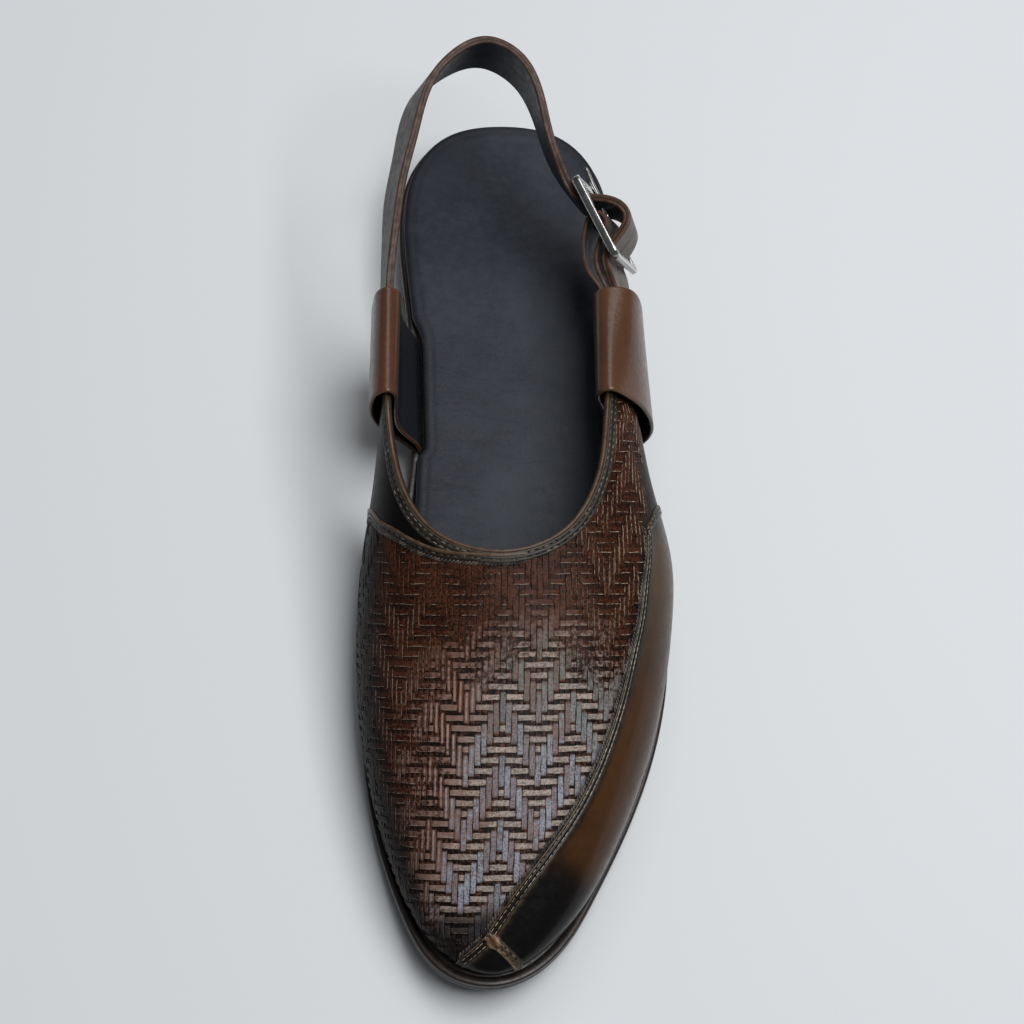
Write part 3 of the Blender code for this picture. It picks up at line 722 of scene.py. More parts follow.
@dataclass(frozen=True)
class BurnishedLeather(Finish):
    """Smooth calf, darkened by burnish and by painted shade, and lightened by wear and by painted highlights
    and reflections, as each piece's painted numbers say.
    """

    brown: Colour = (0.062, 0.025, 0.0085)
    dark: Colour = (0.0034, 0.0028, 0.0026)
    olive: Colour = (0.058, 0.037, 0.019)
    # colour of wear, also laid on the side band as painted reflection of the floor
    worn_and_sheen: Colour = (0.34, 0.26, 0.16)
    lining: Colour = (0.009, 0.010, 0.014)
    roughness: float = 0.3
    coat: float = 0.12
    ior: float = 1.25
    grain: float = 0.035
    pebble: float = 900.0
    mottle: float = 0.45

    def paint(self, p: Paint) -> None:
        """Builds the nodes.

        Args:
            p: the material's nodes.
        """
        clouds = p.noise(34.0, 4.0, 0.6)
        fine = p.noise(420.0, 3.0, 0.6)
        deep = shade(self.brown, 0.52)
        body = p.mix(p.band(clouds, 0.3, 0.72, 0.0, 2.0 * self.mottle), self.brown, deep)
        body = p.mix(p.band(fine, 0.35, 0.75, 0.0, 0.35), body, deep)
        # the band's own olive tone at its rear, plus painted reflection of the floor greying it towards its
        # lower edge
        body = p.mix(p.attribute("olive"), body, self.olive)
        # darkening from burnish, and on the side loops from painted shade
        darkness = p.plus(p.attribute("burnish"), p.band(clouds, 0.25, 0.75, -0.16, 0.16), True)
        body = p.mix(p.band(darkness, 0.08, 0.92), body, self.dark)
        # lighter where worn, and where painted highlights and reflections are laid on
        wear_and_sheen_mask = p.product(p.attribute("wear"), p.band(fine, 0.3, 0.62, 0.25, 1.0))
        body = p.mix(wear_and_sheen_mask, body, self.worn_and_sheen)
        body = p.mix(p.attribute("inward"), body, self.lining)
        normal = p.bump(p.pebbles(self.pebble), self.grain, 0.55)
        normal = p.bump(p.noise(90.0, 2.0), 0.12, 0.25, normal)
        rough = p.band(fine, 0.2, 0.8, self.roughness - 0.05, self.roughness + 0.09)
        p.shape(Base_Color=body, Roughness=rough, Normal=normal, IOR=self.ior,
                Coat_Weight=self.coat, Coat_Roughness=0.16)


@dataclass(frozen=True)
class WovenLeather(Finish):
    """Strips of calf: reddish brown, black at the rims, and in the forepart a silver sheen, partly rubbed
    leather and partly painted highlight.
    """

    red: Colour = (0.064, 0.0205, 0.0095)
    grey: Colour = (0.185, 0.192, 0.180)
    blue: Colour = (0.300, 0.312, 0.365)
    pale: Colour = (0.400, 0.325, 0.285)
    rust: Colour = (0.150, 0.064, 0.042)
    rose: Colour = (0.380, 0.255, 0.220)
    dark: Colour = (0.005, 0.0042, 0.004)
    cream: Colour = (0.46, 0.38, 0.29)
    roughness: float = 0.4

    def paint(self, p: Paint) -> None:
        """Builds the nodes; the tone is below 0.5 on warps and above on wefts.

        Args:
            p: the material's nodes.
        """
        names = ("tone", "rise", "silver", "edge")
        tone, rise, silver, edge = (p.attribute(name) for name in names)
        fibre = p.noise(3.0, 3.0, 0.6, p.mapped((0.12, 1.7, 1.0), p.uv()))
        speck = p.noise(1.5, 3.0, 0.6, p.mapped((0.5, 0.6, 1.0), p.uv()))
        clouds = p.noise(60.0, 3.0, 0.6)
        grit = p.noise(1500.0, 2.0, 0.6)
        darkness = p.plus(p.attribute("burnish"), p.band(clouds, 0.3, 0.7, -0.14, 0.14), True)
        toe_shift = p.product(p.plus(p.axis("Y"), 0.2), 0.25)
        inner = p.band(p.sum("SUBTRACT", p.axis("X"), toe_shift), -0.011, -0.025)

        body = self.ground(p, rise, silver, speck, clouds, grit)
        body = p.mix(p.band(darkness, 0.05, 0.95, 0.0, 0.92), body, self.dark)
        silvered = self.silvering(p, tone, inner, fibre, grit)
        silvered = p.mix(p.band(p.plus(speck, clouds), 0.95, 1.25, 0.0, 0.6), silvered, self.rust)
        # where the silver sheen shows: painted highlight on the raised strips of the forepart, weaker where
        # burnished
        show = p.plus(silver, p.plus(p.band(clouds, 0.3, 0.7, -0.22, 0.22),
                                     p.band(speck, 0.35, 0.65, -0.16, 0.16)))
        narrow = p.product(inner, p.band(tone, 0.55, 0.45), p.band(edge, 0.28, 0.5))
        crossing = p.product(inner, p.band(tone, 0.45, 0.55, 0.0, 0.5))
        show = p.product(p.band(show, 0.12, 0.62), p.band(rise, 0.4, 0.95), p.band(silver, 0.02, 0.3),
                         p.sum("SUBTRACT", 1.0, narrow), p.sum("SUBTRACT", 1.0, crossing))
        body = p.mix(p.product(show, p.band(darkness, 0.1, 0.85, 0.92, 0.10)), body, silvered)
        # cream lines on the strip edges: partly wear, partly painted highlight
        worn_and_sheen = p.product(p.band(edge, 0.70, 0.84), p.band(speck, 0.42, 0.56, 0.03, 1.0),
                         p.attribute("wear"), p.band(rise, 0.55, 0.95))
        body = p.mix(worn_and_sheen, body, self.cream)
        # painted shade in the gaps along the strips' sides
        gap = p.product(p.band(edge, 0.92, 0.99), p.band(silver, 0.0, 0.5, 0.3, 0.9))
        body = p.mix(gap, body, self.dark)
        rough = p.varied(fibre, self.roughness, 0.08, 0.12)
        p.shape(Base_Color=body, Roughness=rough, Normal=p.bump(fibre, 0.04, 0.5), IOR=1.16)

    def ground(self, p: Paint, rise: Socket, silver: Socket, speck: Socket, clouds: Socket,
               grit: Socket) -> Socket:
        """The brown of the strips, with painted shade where they dip, and with embers of rust.

        Args:
            p: the material's nodes.
            rise: how high the strip stands.
            silver: how silvery the place is.
            speck: small noise along the strip.
            clouds: large noise.
            grit: finest noise.

        Returns:
            The colour.
        """
        mottled = p.plus(clouds, p.band(grit, 0.35, 0.65, -0.25, 0.25))
        body = p.mix(p.band(mottled, 0.3, 0.7), shade(self.red, 0.3), self.red)
        # painted shade on the strips where they dip under the others
        low = p.product(p.band(rise, 0.1, 0.9, 1.0, 0.0), p.band(silver, 0.0, 0.6, 0.45, 0.93))
        body = p.mix(low, body, self.dark)
        ember = p.product(p.band(speck, 0.50, 0.60, 0.0, 0.5), p.band(silver, 0.05, 0.4))
        return p.mix(ember, body, self.rust)

    def silvering(self, p: Paint, tone: Socket, inner: Socket, fibre: Socket, grit: Socket) -> Socket:
        """The sheen colour, partly rubbed leather and partly painted highlight: grey to blue warps, paler
        wefts, and rose towards the inner side.

        Args:
            p: the material's nodes.
            tone: the strip's own number.
            inner: 1 towards the inner side.
            fibre: streaks along the strip.
            grit: finest noise.

        Returns:
            The colour.
        """
        warp = p.mix(p.band(p.axis("Y"), -0.178, -0.215), self.grey, self.blue)
        warp = p.mix(p.band(tone, 0.30, 0.36, 0.0, 0.5), warp, self.rust)
        warp = p.mix(p.band(tone, 0.10, 0.02, 0.0, 0.55), warp, shade(self.grey, 0.35))
        weft = p.mix(p.band(tone, 0.6, 1.0, 0.0, 0.35), self.pale, self.grey)
        silvered = p.mix(p.band(tone, 0.45, 0.55), warp, weft)
        streaks = p.plus(fibre, p.band(grit, 0.3, 0.7, -0.2, 0.2))
        silvered = p.mix(p.band(streaks, 0.40, 0.68, 0.0, 0.7), silvered, shade(self.grey, 0.3))
        return p.mix(p.product(inner, 0.75), silvered, self.rose)


@dataclass(frozen=True)
class GroundLeather(Finish):
    """The backing under the weave, raw and reddish outside and lined with navy leather inside."""

    raw: Colour = (0.030, 0.010, 0.006)
    lining: Colour = (0.016, 0.018, 0.026)

    def paint(self, p: Paint) -> None:
        """Builds the nodes.

        Args:
            p: the material's nodes.
        """
        rough = p.noise(520.0, 4.0, 0.7)
        raw = p.mix(p.band(rough, 0.35, 0.7), shade(self.raw, 0.2), self.raw)
        body = p.mix(p.attribute("inward"), raw, self.lining)
        p.shape(Base_Color=body, Roughness=0.62, Normal=p.bump(rough, 0.3, 0.8))


@dataclass(frozen=True)
class InsoleLeather(Finish):
    """Navy sock leather, soft, with fine creases darkened by painted shade, a darker rolled rim, and painted
    shade inside the toe.
    """

    navy: Colour = (0.0165, 0.0195, 0.028)
    pale: Colour = (0.034, 0.039, 0.049)
    rim: Colour = (0.006, 0.006, 0.008)
    fold: Colour = (0.008, 0.009, 0.012)
    roughness: float = 0.5

    def paint(self, p: Paint) -> None:
        """Builds the nodes.

        Args:
            p: the material's nodes.
        """
        clouds = p.noise(17.0, 5.0, 0.62)
        fine = p.noise(300.0, 4.0, 0.65)
        mottled = p.plus(clouds, p.band(fine, 0.3, 0.7, -0.09, 0.09))
        body = p.mix(p.band(mottled, 0.33, 0.7), self.navy, self.pale)
        # the darker rolled rim, and painted shade inside the toe under the vamp
        body = p.mix(p.attribute("burnish"), body, self.rim)
        wrinkle = p.noise(46.0, 5.0, 0.7, p.mapped((1.0, 3.2, 1.0), turn=0.3), 0.9)
        crease = p.band(p.sum("ABSOLUTE", p.sum("SUBTRACT", wrinkle, 0.5)), 0.0, 0.022)
        crease = p.sum("MAXIMUM", crease, p.band(clouds, 0.46, 0.58))
        # painted shade in the creases
        body = p.mix(p.band(crease, 0.0, 1.0, 0.18, 0.0), body, self.fold)
        normal = p.bump(crease, 0.05, 0.4)
        normal = p.bump(p.pebbles(1050.0), 0.05, 0.5, normal)
        normal = p.bump(clouds, 1.0, 0.22, normal)
        rough = p.varied(fine, self.roughness, 0.07, 0.1)
        p.shape(Base_Color=body, Roughness=rough, Normal=normal, IOR=1.25)


@dataclass(frozen=True)
class StrapLeather(Finish):
    """Two plies glued together: grey-brown outside, navy inside, with dyed brown edges."""

    face: Colour = (0.074, 0.064, 0.054)
    lining: Colour = (0.020, 0.022, 0.030)
    edge: Colour = (0.080, 0.036, 0.022)
    line: Colour = (0.008, 0.006, 0.005)
    roughness: float = 0.47

    def paint(self, p: Paint) -> None:
        """Builds the nodes.

        Args:
            p: the material's nodes.
        """
        ply = p.attribute("ply")
        fine = p.noise(380.0, 3.0, 0.6)
        clouds = p.noise(60.0, 3.0, 0.6)
        face = p.mix(p.band(clouds, 0.3, 0.7, 0.0, 0.6), self.face, shade(self.face, 0.6))
        face = p.mix(p.band(fine, 0.4, 0.75, 0.0, 0.4), face, shade(self.face, 0.5))
        # painted light: the face is lighter on the buckle side, beyond x = 27 mm, where it is lit more
        face = p.mix(p.band(p.axis("X"), 0.027, 0.034, 0.0, 0.55), face, shade(self.face, 2.3))
        body = p.mix(p.band(ply, 0.25, 0.3), self.lining, face)
        edge = p.mix(p.band(fine, 0.3, 0.7), self.edge, shade(self.edge, 0.5))
        middle = p.sum("ABSOLUTE", p.sum("SUBTRACT", ply, 0.47))
        edge = p.mix(p.band(middle, 0.035, 0.10, 1.0, 0.0), edge, self.line)
        body = p.mix(p.attribute("rim"), body, edge)
        body = p.mix(p.attribute("crease"), body, self.line)
        normal = p.bump(p.pebbles(950.0), 0.05, 0.5)
        normal = p.bump(clouds, 0.25, 0.2, normal)
        rough = p.varied(fine, self.roughness, 0.06, 0.1)
        p.shape(Base_Color=body, Roughness=rough, Normal=normal, IOR=1.36)


@dataclass(frozen=True)
class SoleEdge(Finish):
    """Dyed and waxed sole edge, almost black, with brown showing where the wax is thin."""

    wax: Colour = (0.006, 0.0055, 0.0055)
    brown: Colour = (0.024, 0.012, 0.008)
    worn_and_sheen: Colour = (0.10, 0.052, 0.028)
    roughness: float = 0.34
    grain: float = 0.05

    def paint(self, p: Paint) -> None:
        """Builds the nodes.

        Args:
            p: the material's nodes.
        """
        layers = p.noise(46.0, 4.0, 0.65, p.mapped((1.0, 1.0, 9.0)))
        fine = p.noise(520.0, 3.0, 0.6)
        body = p.mix(p.band(layers, 0.42, 0.68, 0.0, 0.75), self.wax, self.brown)
        body = p.mix(p.attribute("wear"), body, self.worn_and_sheen)
        rough = p.varied(fine, self.roughness, 0.06, 0.12)
        p.shape(Base_Color=body, Roughness=rough, Normal=p.bump(p.plus(layers, fine), self.grain, 0.6),
                IOR=1.42)


@dataclass(frozen=True)
class Thread(Finish):
    """Waxed sewing thread with a fine twist."""

    colour: Colour
    shine: Colour
    roughness: float = 0.42

    def paint(self, p: Paint) -> None:
        """Builds the nodes.

        Args:
            p: the material's nodes.
        """
        speck = p.noise(260.0, 2.0, 0.6)
        body = p.mix(p.band(speck, 0.42, 0.66), self.colour, self.shine)
        twist = p.add("ShaderNodeTexWave", wave_type="BANDS", bands_direction="DIAGONAL")
        twist.inputs["Scale"].default_value = 900.0
        twist.inputs["Distortion"].default_value = 1.5
        p.feed(twist.inputs["Vector"], p.object_coordinates)
        p.shape(Base_Color=body, Roughness=self.roughness, Normal=p.bump(twist.outputs["Fac"], 0.08, 0.6))


@dataclass(frozen=True)
class Steel(Finish):
    """Brushed steel with fine scratches, a little tarnish, and painted glints: near-white lines along the
    rounded corners of the bars, where highlights fall.
    """

    colour: Colour = (0.40, 0.395, 0.38)
    roughness: float = 0.24
    glint_colour: Colour = (0.86, 0.85, 0.82)

    def paint(self, p: Paint) -> None:
        """Builds the nodes.

        Args:
            p: the material's nodes.
        """
        scratch = p.noise(260.0, 3.0, 0.6)
        clouds = p.noise(90.0, 3.0, 0.6)
        body = p.mix(p.band(clouds, 0.35, 0.7, 0.0, 0.5), self.colour, shade(self.colour, 0.5))
        # painted highlights: near-white lines along the bars' corners
        body = p.mix(p.attribute("polish"), body, self.glint_colour)
        rough = p.varied(scratch, self.roughness, 0.04, 0.08)
        p.shape(Base_Color=body, Metallic=1.0, Roughness=rough)


@dataclass(frozen=True)
class Backdrop(Finish):
    """Matt pale paper."""

    colour: Colour = (0.66, 0.68, 0.70)

    def paint(self, p: Paint) -> None:
        """Builds the nodes."""
        p.shape(Base_Color=self.colour, Roughness=0.9, Specular_IOR_Level=0.1)


BORDER_CORD = Thread("border_cord", (0.008, 0.006, 0.006), (0.085, 0.07, 0.055))
END_THREAD = Thread("end_thread", (0.040, 0.028, 0.018), (0.22, 0.16, 0.10))


# ---- mesh making ------------------------------------------
Tones = dict[str, Array]
Painter = Callable[[Array, Array, Array, Array], Tones]
Section = list[tuple[float, float, float, float]]
WHOLE = (0.0, 1.0)
WELD = 0.0005              # mm within which corners join


def sweep(bm: bmesh.types.BMesh, columns: int, rows: int, place: Place, *, wrap: bool = False,
          closed: bool = False, pinch: bool = False,
          tones: Optional[Callable[[Array, Array], Tones]] = None,
          uv_scale: Pair) -> None:
    """Adds a grid and moves its corners onto a surface.

    Args:
        bm: the mesh being made.
        columns: faces along u.
        rows: faces along v.
        place: gives points for arrays of u and v, both 0 to 1.
        wrap: whether v comes round to its start, so the grid is a tube.
        closed: whether u comes round to its start too.
        pinch: whether each end folds flat on itself and is welded.
        tones: gives numbers to paint on the points, by name.
        uv_scale: size of the UV map along u and v.
    """
    uv = bm.loops.layers.uv.get("UVMap") or bm.loops.layers.uv.new("UVMap")
    for name in tones(np.zeros(1), np.zeros(1)) if tones else ():
        if name not in bm.verts.layers.float:
            bm.verts.layers.float.new(name)
    verts = bmesh.ops.create_grid(bm, x_segments=columns, y_segments=rows, size=0.5)["verts"]
    u, v = (np.array([vert.co[i] for vert in verts]) + 0.5 for i in range(2))
    for face in {face for vert in verts for face in vert.link_faces}:
        for loop in face.loops:
            loop[uv].uv = ((loop.vert.co.x + 0.5) * uv_scale[0], (loop.vert.co.y + 0.5) * uv_scale[1])
    for name, values in (tones(u, v) if tones else {}).items():
        layer = bm.verts.layers.float[name]
        for vert, value in zip(verts, np.broadcast_to(values, u.shape)):
            vert[layer] = float(value)
    for vert, point in zip(verts, place(u, v)):
        vert.co = point
    at_end_u, at_end_v = (np.minimum(value, 1.0 - value) < TINY for value in (u, v))
    meet = (at_end_u & (closed or pinch)) | (at_end_v & wrap)
    seam = [vert for vert, met in zip(verts, meet) if met]
    bmesh.ops.remove_doubles(bm, verts=seam, dist=WELD)
    if wrap and not closed:
        verts = [vert for vert in verts if vert.is_valid]
        ends = {edge for vert in verts for edge in vert.link_edges if edge.is_boundary}
        bmesh.ops.holes_fill(bm, edges=list(ends), sides=0)


def piece(name: str, bm: bmesh.types.BMesh, finish: Finish,
          node: str = "upper", sharp: float = 50.0) -> None:
    """Turns a mesh in millimetres into a finished piece of the shoe.

    Args:
        name: name of the piece.
        bm: its mesh, freed here.
        finish: what it is made of.
        node: CAD node that the piece stands for.
        sharp: angle in degrees past which an edge shows.
    """
    bmesh.ops.recalc_face_normals(bm, faces=bm.faces)
    bmesh.ops.scale(bm, vec=(MM, MM, MM), verts=bm.verts)
    mesh = bpy.data.meshes.new(name)
    bm.to_mesh(mesh)
    bm.free()
    mesh.materials.append(finish.material())
    mesh.shade_smooth()
    mesh.set_sharp_from_angle(angle=math.radians(sharp))
    obj = bpy.data.objects.new(name, mesh)
    bpy.context.scene.collection.objects.link(obj)
    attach(obj, "root")
    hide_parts(node)
    LOG.info("%s: %d faces", name, len(mesh.polygons))


def swept_piece(name: str, swath: Swath, section: Section, columns: int, finish: Finish,
                painter: Painter, span: Pair = WHOLE,
                node: str = "upper") -> None:
    """Makes a piece by carrying a closed cross-section along a seam.

    Args:
        name: name of the piece.
        swath: the surface beside the seam.
        section: rows of (distance, share of the width, lift, paint), closed by repeating the first.
        columns: faces along the seam.
        finish: what it is made of.
        painter: gives numbers to paint, from places along the seam and the section's distance,
            share and paint columns.
        span: where on the seam it starts and ends.
        node: CAD node that the piece stands for.
    """
    table = np.array((*section, section[0]), dtype=float)
    start, reach = span[0], span[1] - span[0]

    def place(u: Array, v: Array) -> Array:
        """Points of the surface."""
        near, share, lift, _ = along_table(v, table).T
        s = start + reach * u
        return swath.at(s, near + share * swath.width(s), lift)

    def tones(u: Array, v: Array) -> Tones:
        """Numbers to paint."""
        near, share, _, paint = along_table(v, table).T
        return painter(start + reach * u, near, share, paint)

    bm = bmesh.new()
    sweep(bm, columns, len(section), place, wrap=True, tones=tones, uv_scale=(swath.length * reach, 1.0))
    piece(name, bm, finish, node)


def rubbed(burnish: float, bared: float, wear: float) -> Painter:
    """Paint for a hem: burnished, but less so on its ridges, which are worn.

    Args:
        burnish: how dark it is away from the ridges.
        bared: how much of that the ridges lose.
        wear: how worn the ridges are.

    Returns:
        A function of the places along the seam and the cross-section's columns.
    """
    def painter(_s: Array, _near: Array, _share: Array, paint: Array) -> Tones:
        """Numbers to paint."""
        return {"burnish": burnish - bared * paint, "wear": wear * paint}
    return painter


def beside(*rows: Triple) -> Section:
    """Rows of a cross-section close to its seam, from (distance, lift, paint)."""
    return [(distance, 0.0, lift, paint) for distance, lift, paint in rows]


def across(start: float, end: float, count: int, lift: float, margin: float = 0.0) -> Section:
    """Rows of a cross-section spread over shares of the width, a margin from the seam at first."""
    return [(margin * (1.0 - share), share, lift, 0.0) for share in np.linspace(start, end, count)]


@dataclass(frozen=True)
class Stitch:
    """A stitch's size: it is a small rounded bar, half sunk in the leather."""

    pitch: float
    length: float
    radius: float
    slant: float = 0.0         # turn of each stitch in radians

    def row(self, bm: bmesh.types.BMesh, swath: Swath, distance: float, lift: float,
            rng: random.Random, span: Pair = WHOLE) -> None:
        """Adds a row of stitches along a seam.

        Args:
            bm: the mesh being made.
            swath: the surface beside the seam.
            distance: of the row from the seam.
            lift: of the thread's middle over the surface.
            rng: makes each stitch a little different.
            span: where on the seam the row starts and ends.
        """
        start, end = (swath.length * s for s in span)
        for i in range(max(int((end - start) / self.pitch), 1)):
            middle = start + (i + 0.5 + rng.uniform(-0.05, 0.05)) * self.pitch
            u = np.array([middle - 0.4, middle + 0.4, middle]) / swath.length
            back, front, up = (Vector(p) for p in swath.at(u, distance, lift + np.array((0.0, 0.0, 1.0))))
            centre = (back + front) / 2.0
            tangent = (front - back).normalized()
            normal = (up - centre).normalized()
            side = normal.cross(tangent).normalized()
            tangent = (tangent * math.cos(self.slant) + side * math.sin(self.slant)).normalized()
            side = normal.cross(tangent).normalized()
            turn = Matrix((side, normal, tangent)).transposed().to_4x4()
            half = self.length / 2.0 * rng.uniform(0.92, 1.06)
            size = Matrix.Diagonal((self.radius, self.radius * 0.9, half, 1.0))
            bmesh.ops.create_uvsphere(bm, u_segments=6, v_segments=5, radius=1.0,
                                      matrix=Matrix.Translation(centre) @ turn @ size)


def cord(radius: float) -> Stitch:
    """A cord of two strands, as a row of slanted, overlapping beads."""
    return Stitch(pitch=1.25, length=2.3, radius=radius, slant=0.62)


# ---- seams shared by the pieces of the upper --------------
BORDER: Rows = (  # seam between weave and side band, from the outer ear to the sole at the toe
    (40.1, -127.2), (40.3, -134.7), (38.6, -146.2), (36.9, -157.3), (34.6, -166.4), (30.8, -180.7),
    (23.4, -201.5), (15.6, -216.9), (5.9, -230.6), (-5.4, -244.9), (-13.2, -255.2),
    (-18.2, -259.0), (-22.0, -261.2),
)
TOE_CORNER = 10            # row of BORDER where the toe piece takes over from the side band
FOLD_START = 88            # of the 200 rows along QUARTER, where the vamp's fold starts
BAND_REAR = (46.3, -113.5)         # where the side band's rear edge meets the outline
TOE_SEAM_FOOT = (-4.1, -263.1)     # where the side band's front edge meets the outline
BORDER_FOOT = (-21.5, -260.9)      # where the toe piece's edge meets it
COLLAR_FAR: Rows = (       # points of the plan that lines square to the collar run to
    (-43.0, -60.0), (-43.7, -87.5), (-45.6, -110.0), (-43.2, -127.0), (-32.5, -142.0),
    (-18.5, -149.5), (-5.0, -151.0), (8.3, -148.0), (20.5, -140.8), (29.8, -127.8),
    (35.3, -112.5), (38.0, -88.0), (36.8, -73.0), (35.9, -58.0),
)
QUARTER: Rows = (          # collar x, collar y, and k, y of the inner quarter's lower edge
    (-41.9, -60.0, -2.0, -60.0), (-42.1, -73.0, -2.0, -73.0), (-42.2, -87.0, -2.0, -87.0),
    (-41.4, -98.0, -2.0, -99.0), (-40.6, -103.5, -2.0, -108.0), (-39.8, -107.8, -1.46, -111.9),
    (-39.3, -109.8, -1.20, -113.3), (-38.7, -112.0, -1.0, -114.8), (-38.05, -114.4, -0.907, -116.7),
    (-37.3, -117.0, -0.83, -119.0), (-35.2, -122.5, -0.697, -124.9),
    (-32.5, -127.0, -0.577, -129.3), (-29.0, -131.6, -0.463, -134.0), (-24.5, -135.8, -0.33, -138.8),
    (-19.0, -138.8, -0.22, -141.0), (-13.0, -140.5, -0.115, -142.0), (-5.0, -141.0, 0.01, -142.3),
    (1.0, -140.2, 0.08, -141.6),
)
EAR_SEAM: Rows = (         # k, y of the weave's lower edge on the outer ear
    (0.605, -128.6), (0.643, -121.9), (0.703, -110.8), (0.81, -97.9), (0.95, -88.5),
    (1.45, -82.0), (1.97, -76.0),
)


class Seams:
    """The surfaces beside the upper's seams."""

    FOLD_REACH = 9.0       # width of the surface kept beside the vamp's fold
    SIDE_HEIGHT = 30.0     # length that a k of 1 stands for where points are spaced

    def __init__(self, last: Last) -> None:
        """Lays the seams over the last and works out the surface beside each.

        Args:
            last: the shape that the shoe is made on.
        """
        self.last = last
        side_top = smooth_curve(BORDER[:TOE_CORNER + 1], 220)
        foot = self._outline_share(TOE_SEAM_FOOT)
        rear = self._outline_share(BAND_REAR)
        self.side = Swath(last.edge_lines(side_top, np.linspace(rear, foot, 220)))
        toe_top = smooth_curve(BORDER[TOE_CORNER:], 40)
        toe_foot = np.linspace(foot, self._outline_share(BORDER_FOOT), 40)
        self.toe = Swath(last.edge_lines(toe_top, toe_foot))
        self.border = np.vstack((side_top, toe_top[1:]))
        w = np.linspace(-1.0, 1.0, 320)
        c = w * (1.0 - COLLAR_CROWDING + COLLAR_CROWDING * np.abs(w) ** 1.2)
        top = rows_at(c, last.scale, last.collar)
        self.shell = Swath(last.edge_lines(top, w))
        pairs = smooth_curve([(*near, *far) for near, far in zip(COLLAR, COLLAR_FAR)], 420)
        self.collar = Swath(self._plan_lines(pairs[:, :2], pairs[:, 2:]))
        rows = smooth_curve(QUARTER, 200)
        edge = np.column_stack((last.share(rows[:, 0], rows[:, 1]), rows[:, 1]))
        self.quarter = Swath(last.chart_lines(edge, rows[:, 2:]))
        self.fold_places = self._even(rows[FOLD_START:, 2:], 160)
        self.vamp_edge = Swath(last.chart_lines(self.fold_places, self.fold_places - (0.0, self.FOLD_REACH)))
        stretch = (self.SIDE_HEIGHT, 1.0)
        self.ear_places = smooth_curve(np.array(EAR_SEAM) * stretch, 120) / stretch
        y = self.ear_places[:, 1]
        ground = np.minimum(y + 10.0 * smooth_step(y, -100.0, -128.0), EAR_SEAM[-1][1])
        self.ear = Swath(last.chart_lines(self.ear_places, np.column_stack((np.full(120, 2.0), ground))))

    def _outline_share(self, point: Pair) -> float:
        """Place on the upper's outline that is nearest to a point of the plan."""
        gap = np.linalg.norm(self.last.outline[:, :2] - point, axis=1)
        return float(self.last.scale[int(np.argmin(gap))])

    def _even(self, places: Array, count: int) -> Array:
        """Places (k, y) on the last spaced evenly over the surface.

        Args:
            places: rows of (k, y).
            count: how many are wanted.

        Returns:
            Rows of (k, y).
        """
        points = self.last.station(places[:, 0], places[:, 1])
        run = distances(points)
        wanted = np.linspace(0.0, run[-1], count)
        return rows_at(wanted, run, places)

    def _plan_lines(self, top: Array, far: Array) -> Array:
        """Lines over the last above straight lines of the plan.

        Args:
            top: where each line starts.
            far: where it ends.

        Returns:
            Points of every line, one row of them for each.
        """
        lines = []
        for s in evenly(120):
            plan = top + (far - top) * s
            lines.append(np.column_stack((plan, self.last.height(plan[:, 0], plan[:, 1]))))
        return np.array(lines).transpose(1, 0, 2)

    def woven_places(self) -> Array:
        """Outline (k, y) of the weave, run on a little under the pieces that border it.

        Returns:
            Rows of (k, y).
        """
        collar = self.collar.at(np.linspace(1.0, 0.3, 200), 1.6, 0.0)
        collar = collar[collar[:, 0] > 0.5]
        rear = np.column_stack((self.last.share(collar[:, 0], collar[:, 1]), collar[:, 1]))
        fold = self.fold_places[::-1] + (0.0, 0.8)
        foot = np.column_stack((np.full(60, -2.03), np.linspace(-109.0, -262.6, 60)))
        ahead = unit(np.gradient(self.border, axis=0))
        outward = np.column_stack((-ahead[:, 1], ahead[:, 0]))
        border = (self.border + outward * 0.9)[::-1]
        seam = np.column_stack((self.last.share(border[:, 0], border[:, 1]), border[:, 1]))
        ear = self.ear_places + (0.02, 0.0)
        return np.vstack((rear, fold, foot, seam[:-3], ear, ((2.03, -76.0), (2.03, -57.0))))


def turned(swath: Swath, u: float, reach: float) -> Swath:
    """The surface beside a line that crosses a swath.

    Args:
        swath: the surface crossed.
        u: where the line crosses the seam.
        reach: how far the new swath runs along the seam, below 0 towards its start.

    Returns:
        A swath whose seam runs across the first one.
    """
    places = u + reach / swath.length * evenly(30)
    lines = [swath.at(places, share * swath.width(places), 0.0) for share in evenly(90)]
    return Swath(np.array(lines), 60)


# ---- weave ------------------------------------------------
def inside(polygon: Array, x: Array, y: Array) -> Array:
    """Which points lie inside a closed polygon.

    Args:
        polygon: the corners.
        x: across the foot.
        y: along the foot.

    Returns:
        Truth of each point.
    """
    result = np.zeros(x.shape, dtype=bool)
    for (x0, y0), (x1, y1) in zip(polygon, np.roll(polygon, -1, axis=0)):
        if y0 == y1:
            continue
        crosses = (y0 > y) != (y1 > y)
        result ^= crosses & (x < x0 + (y - y0) * (x1 - x0) / (y1 - y0))
    return result


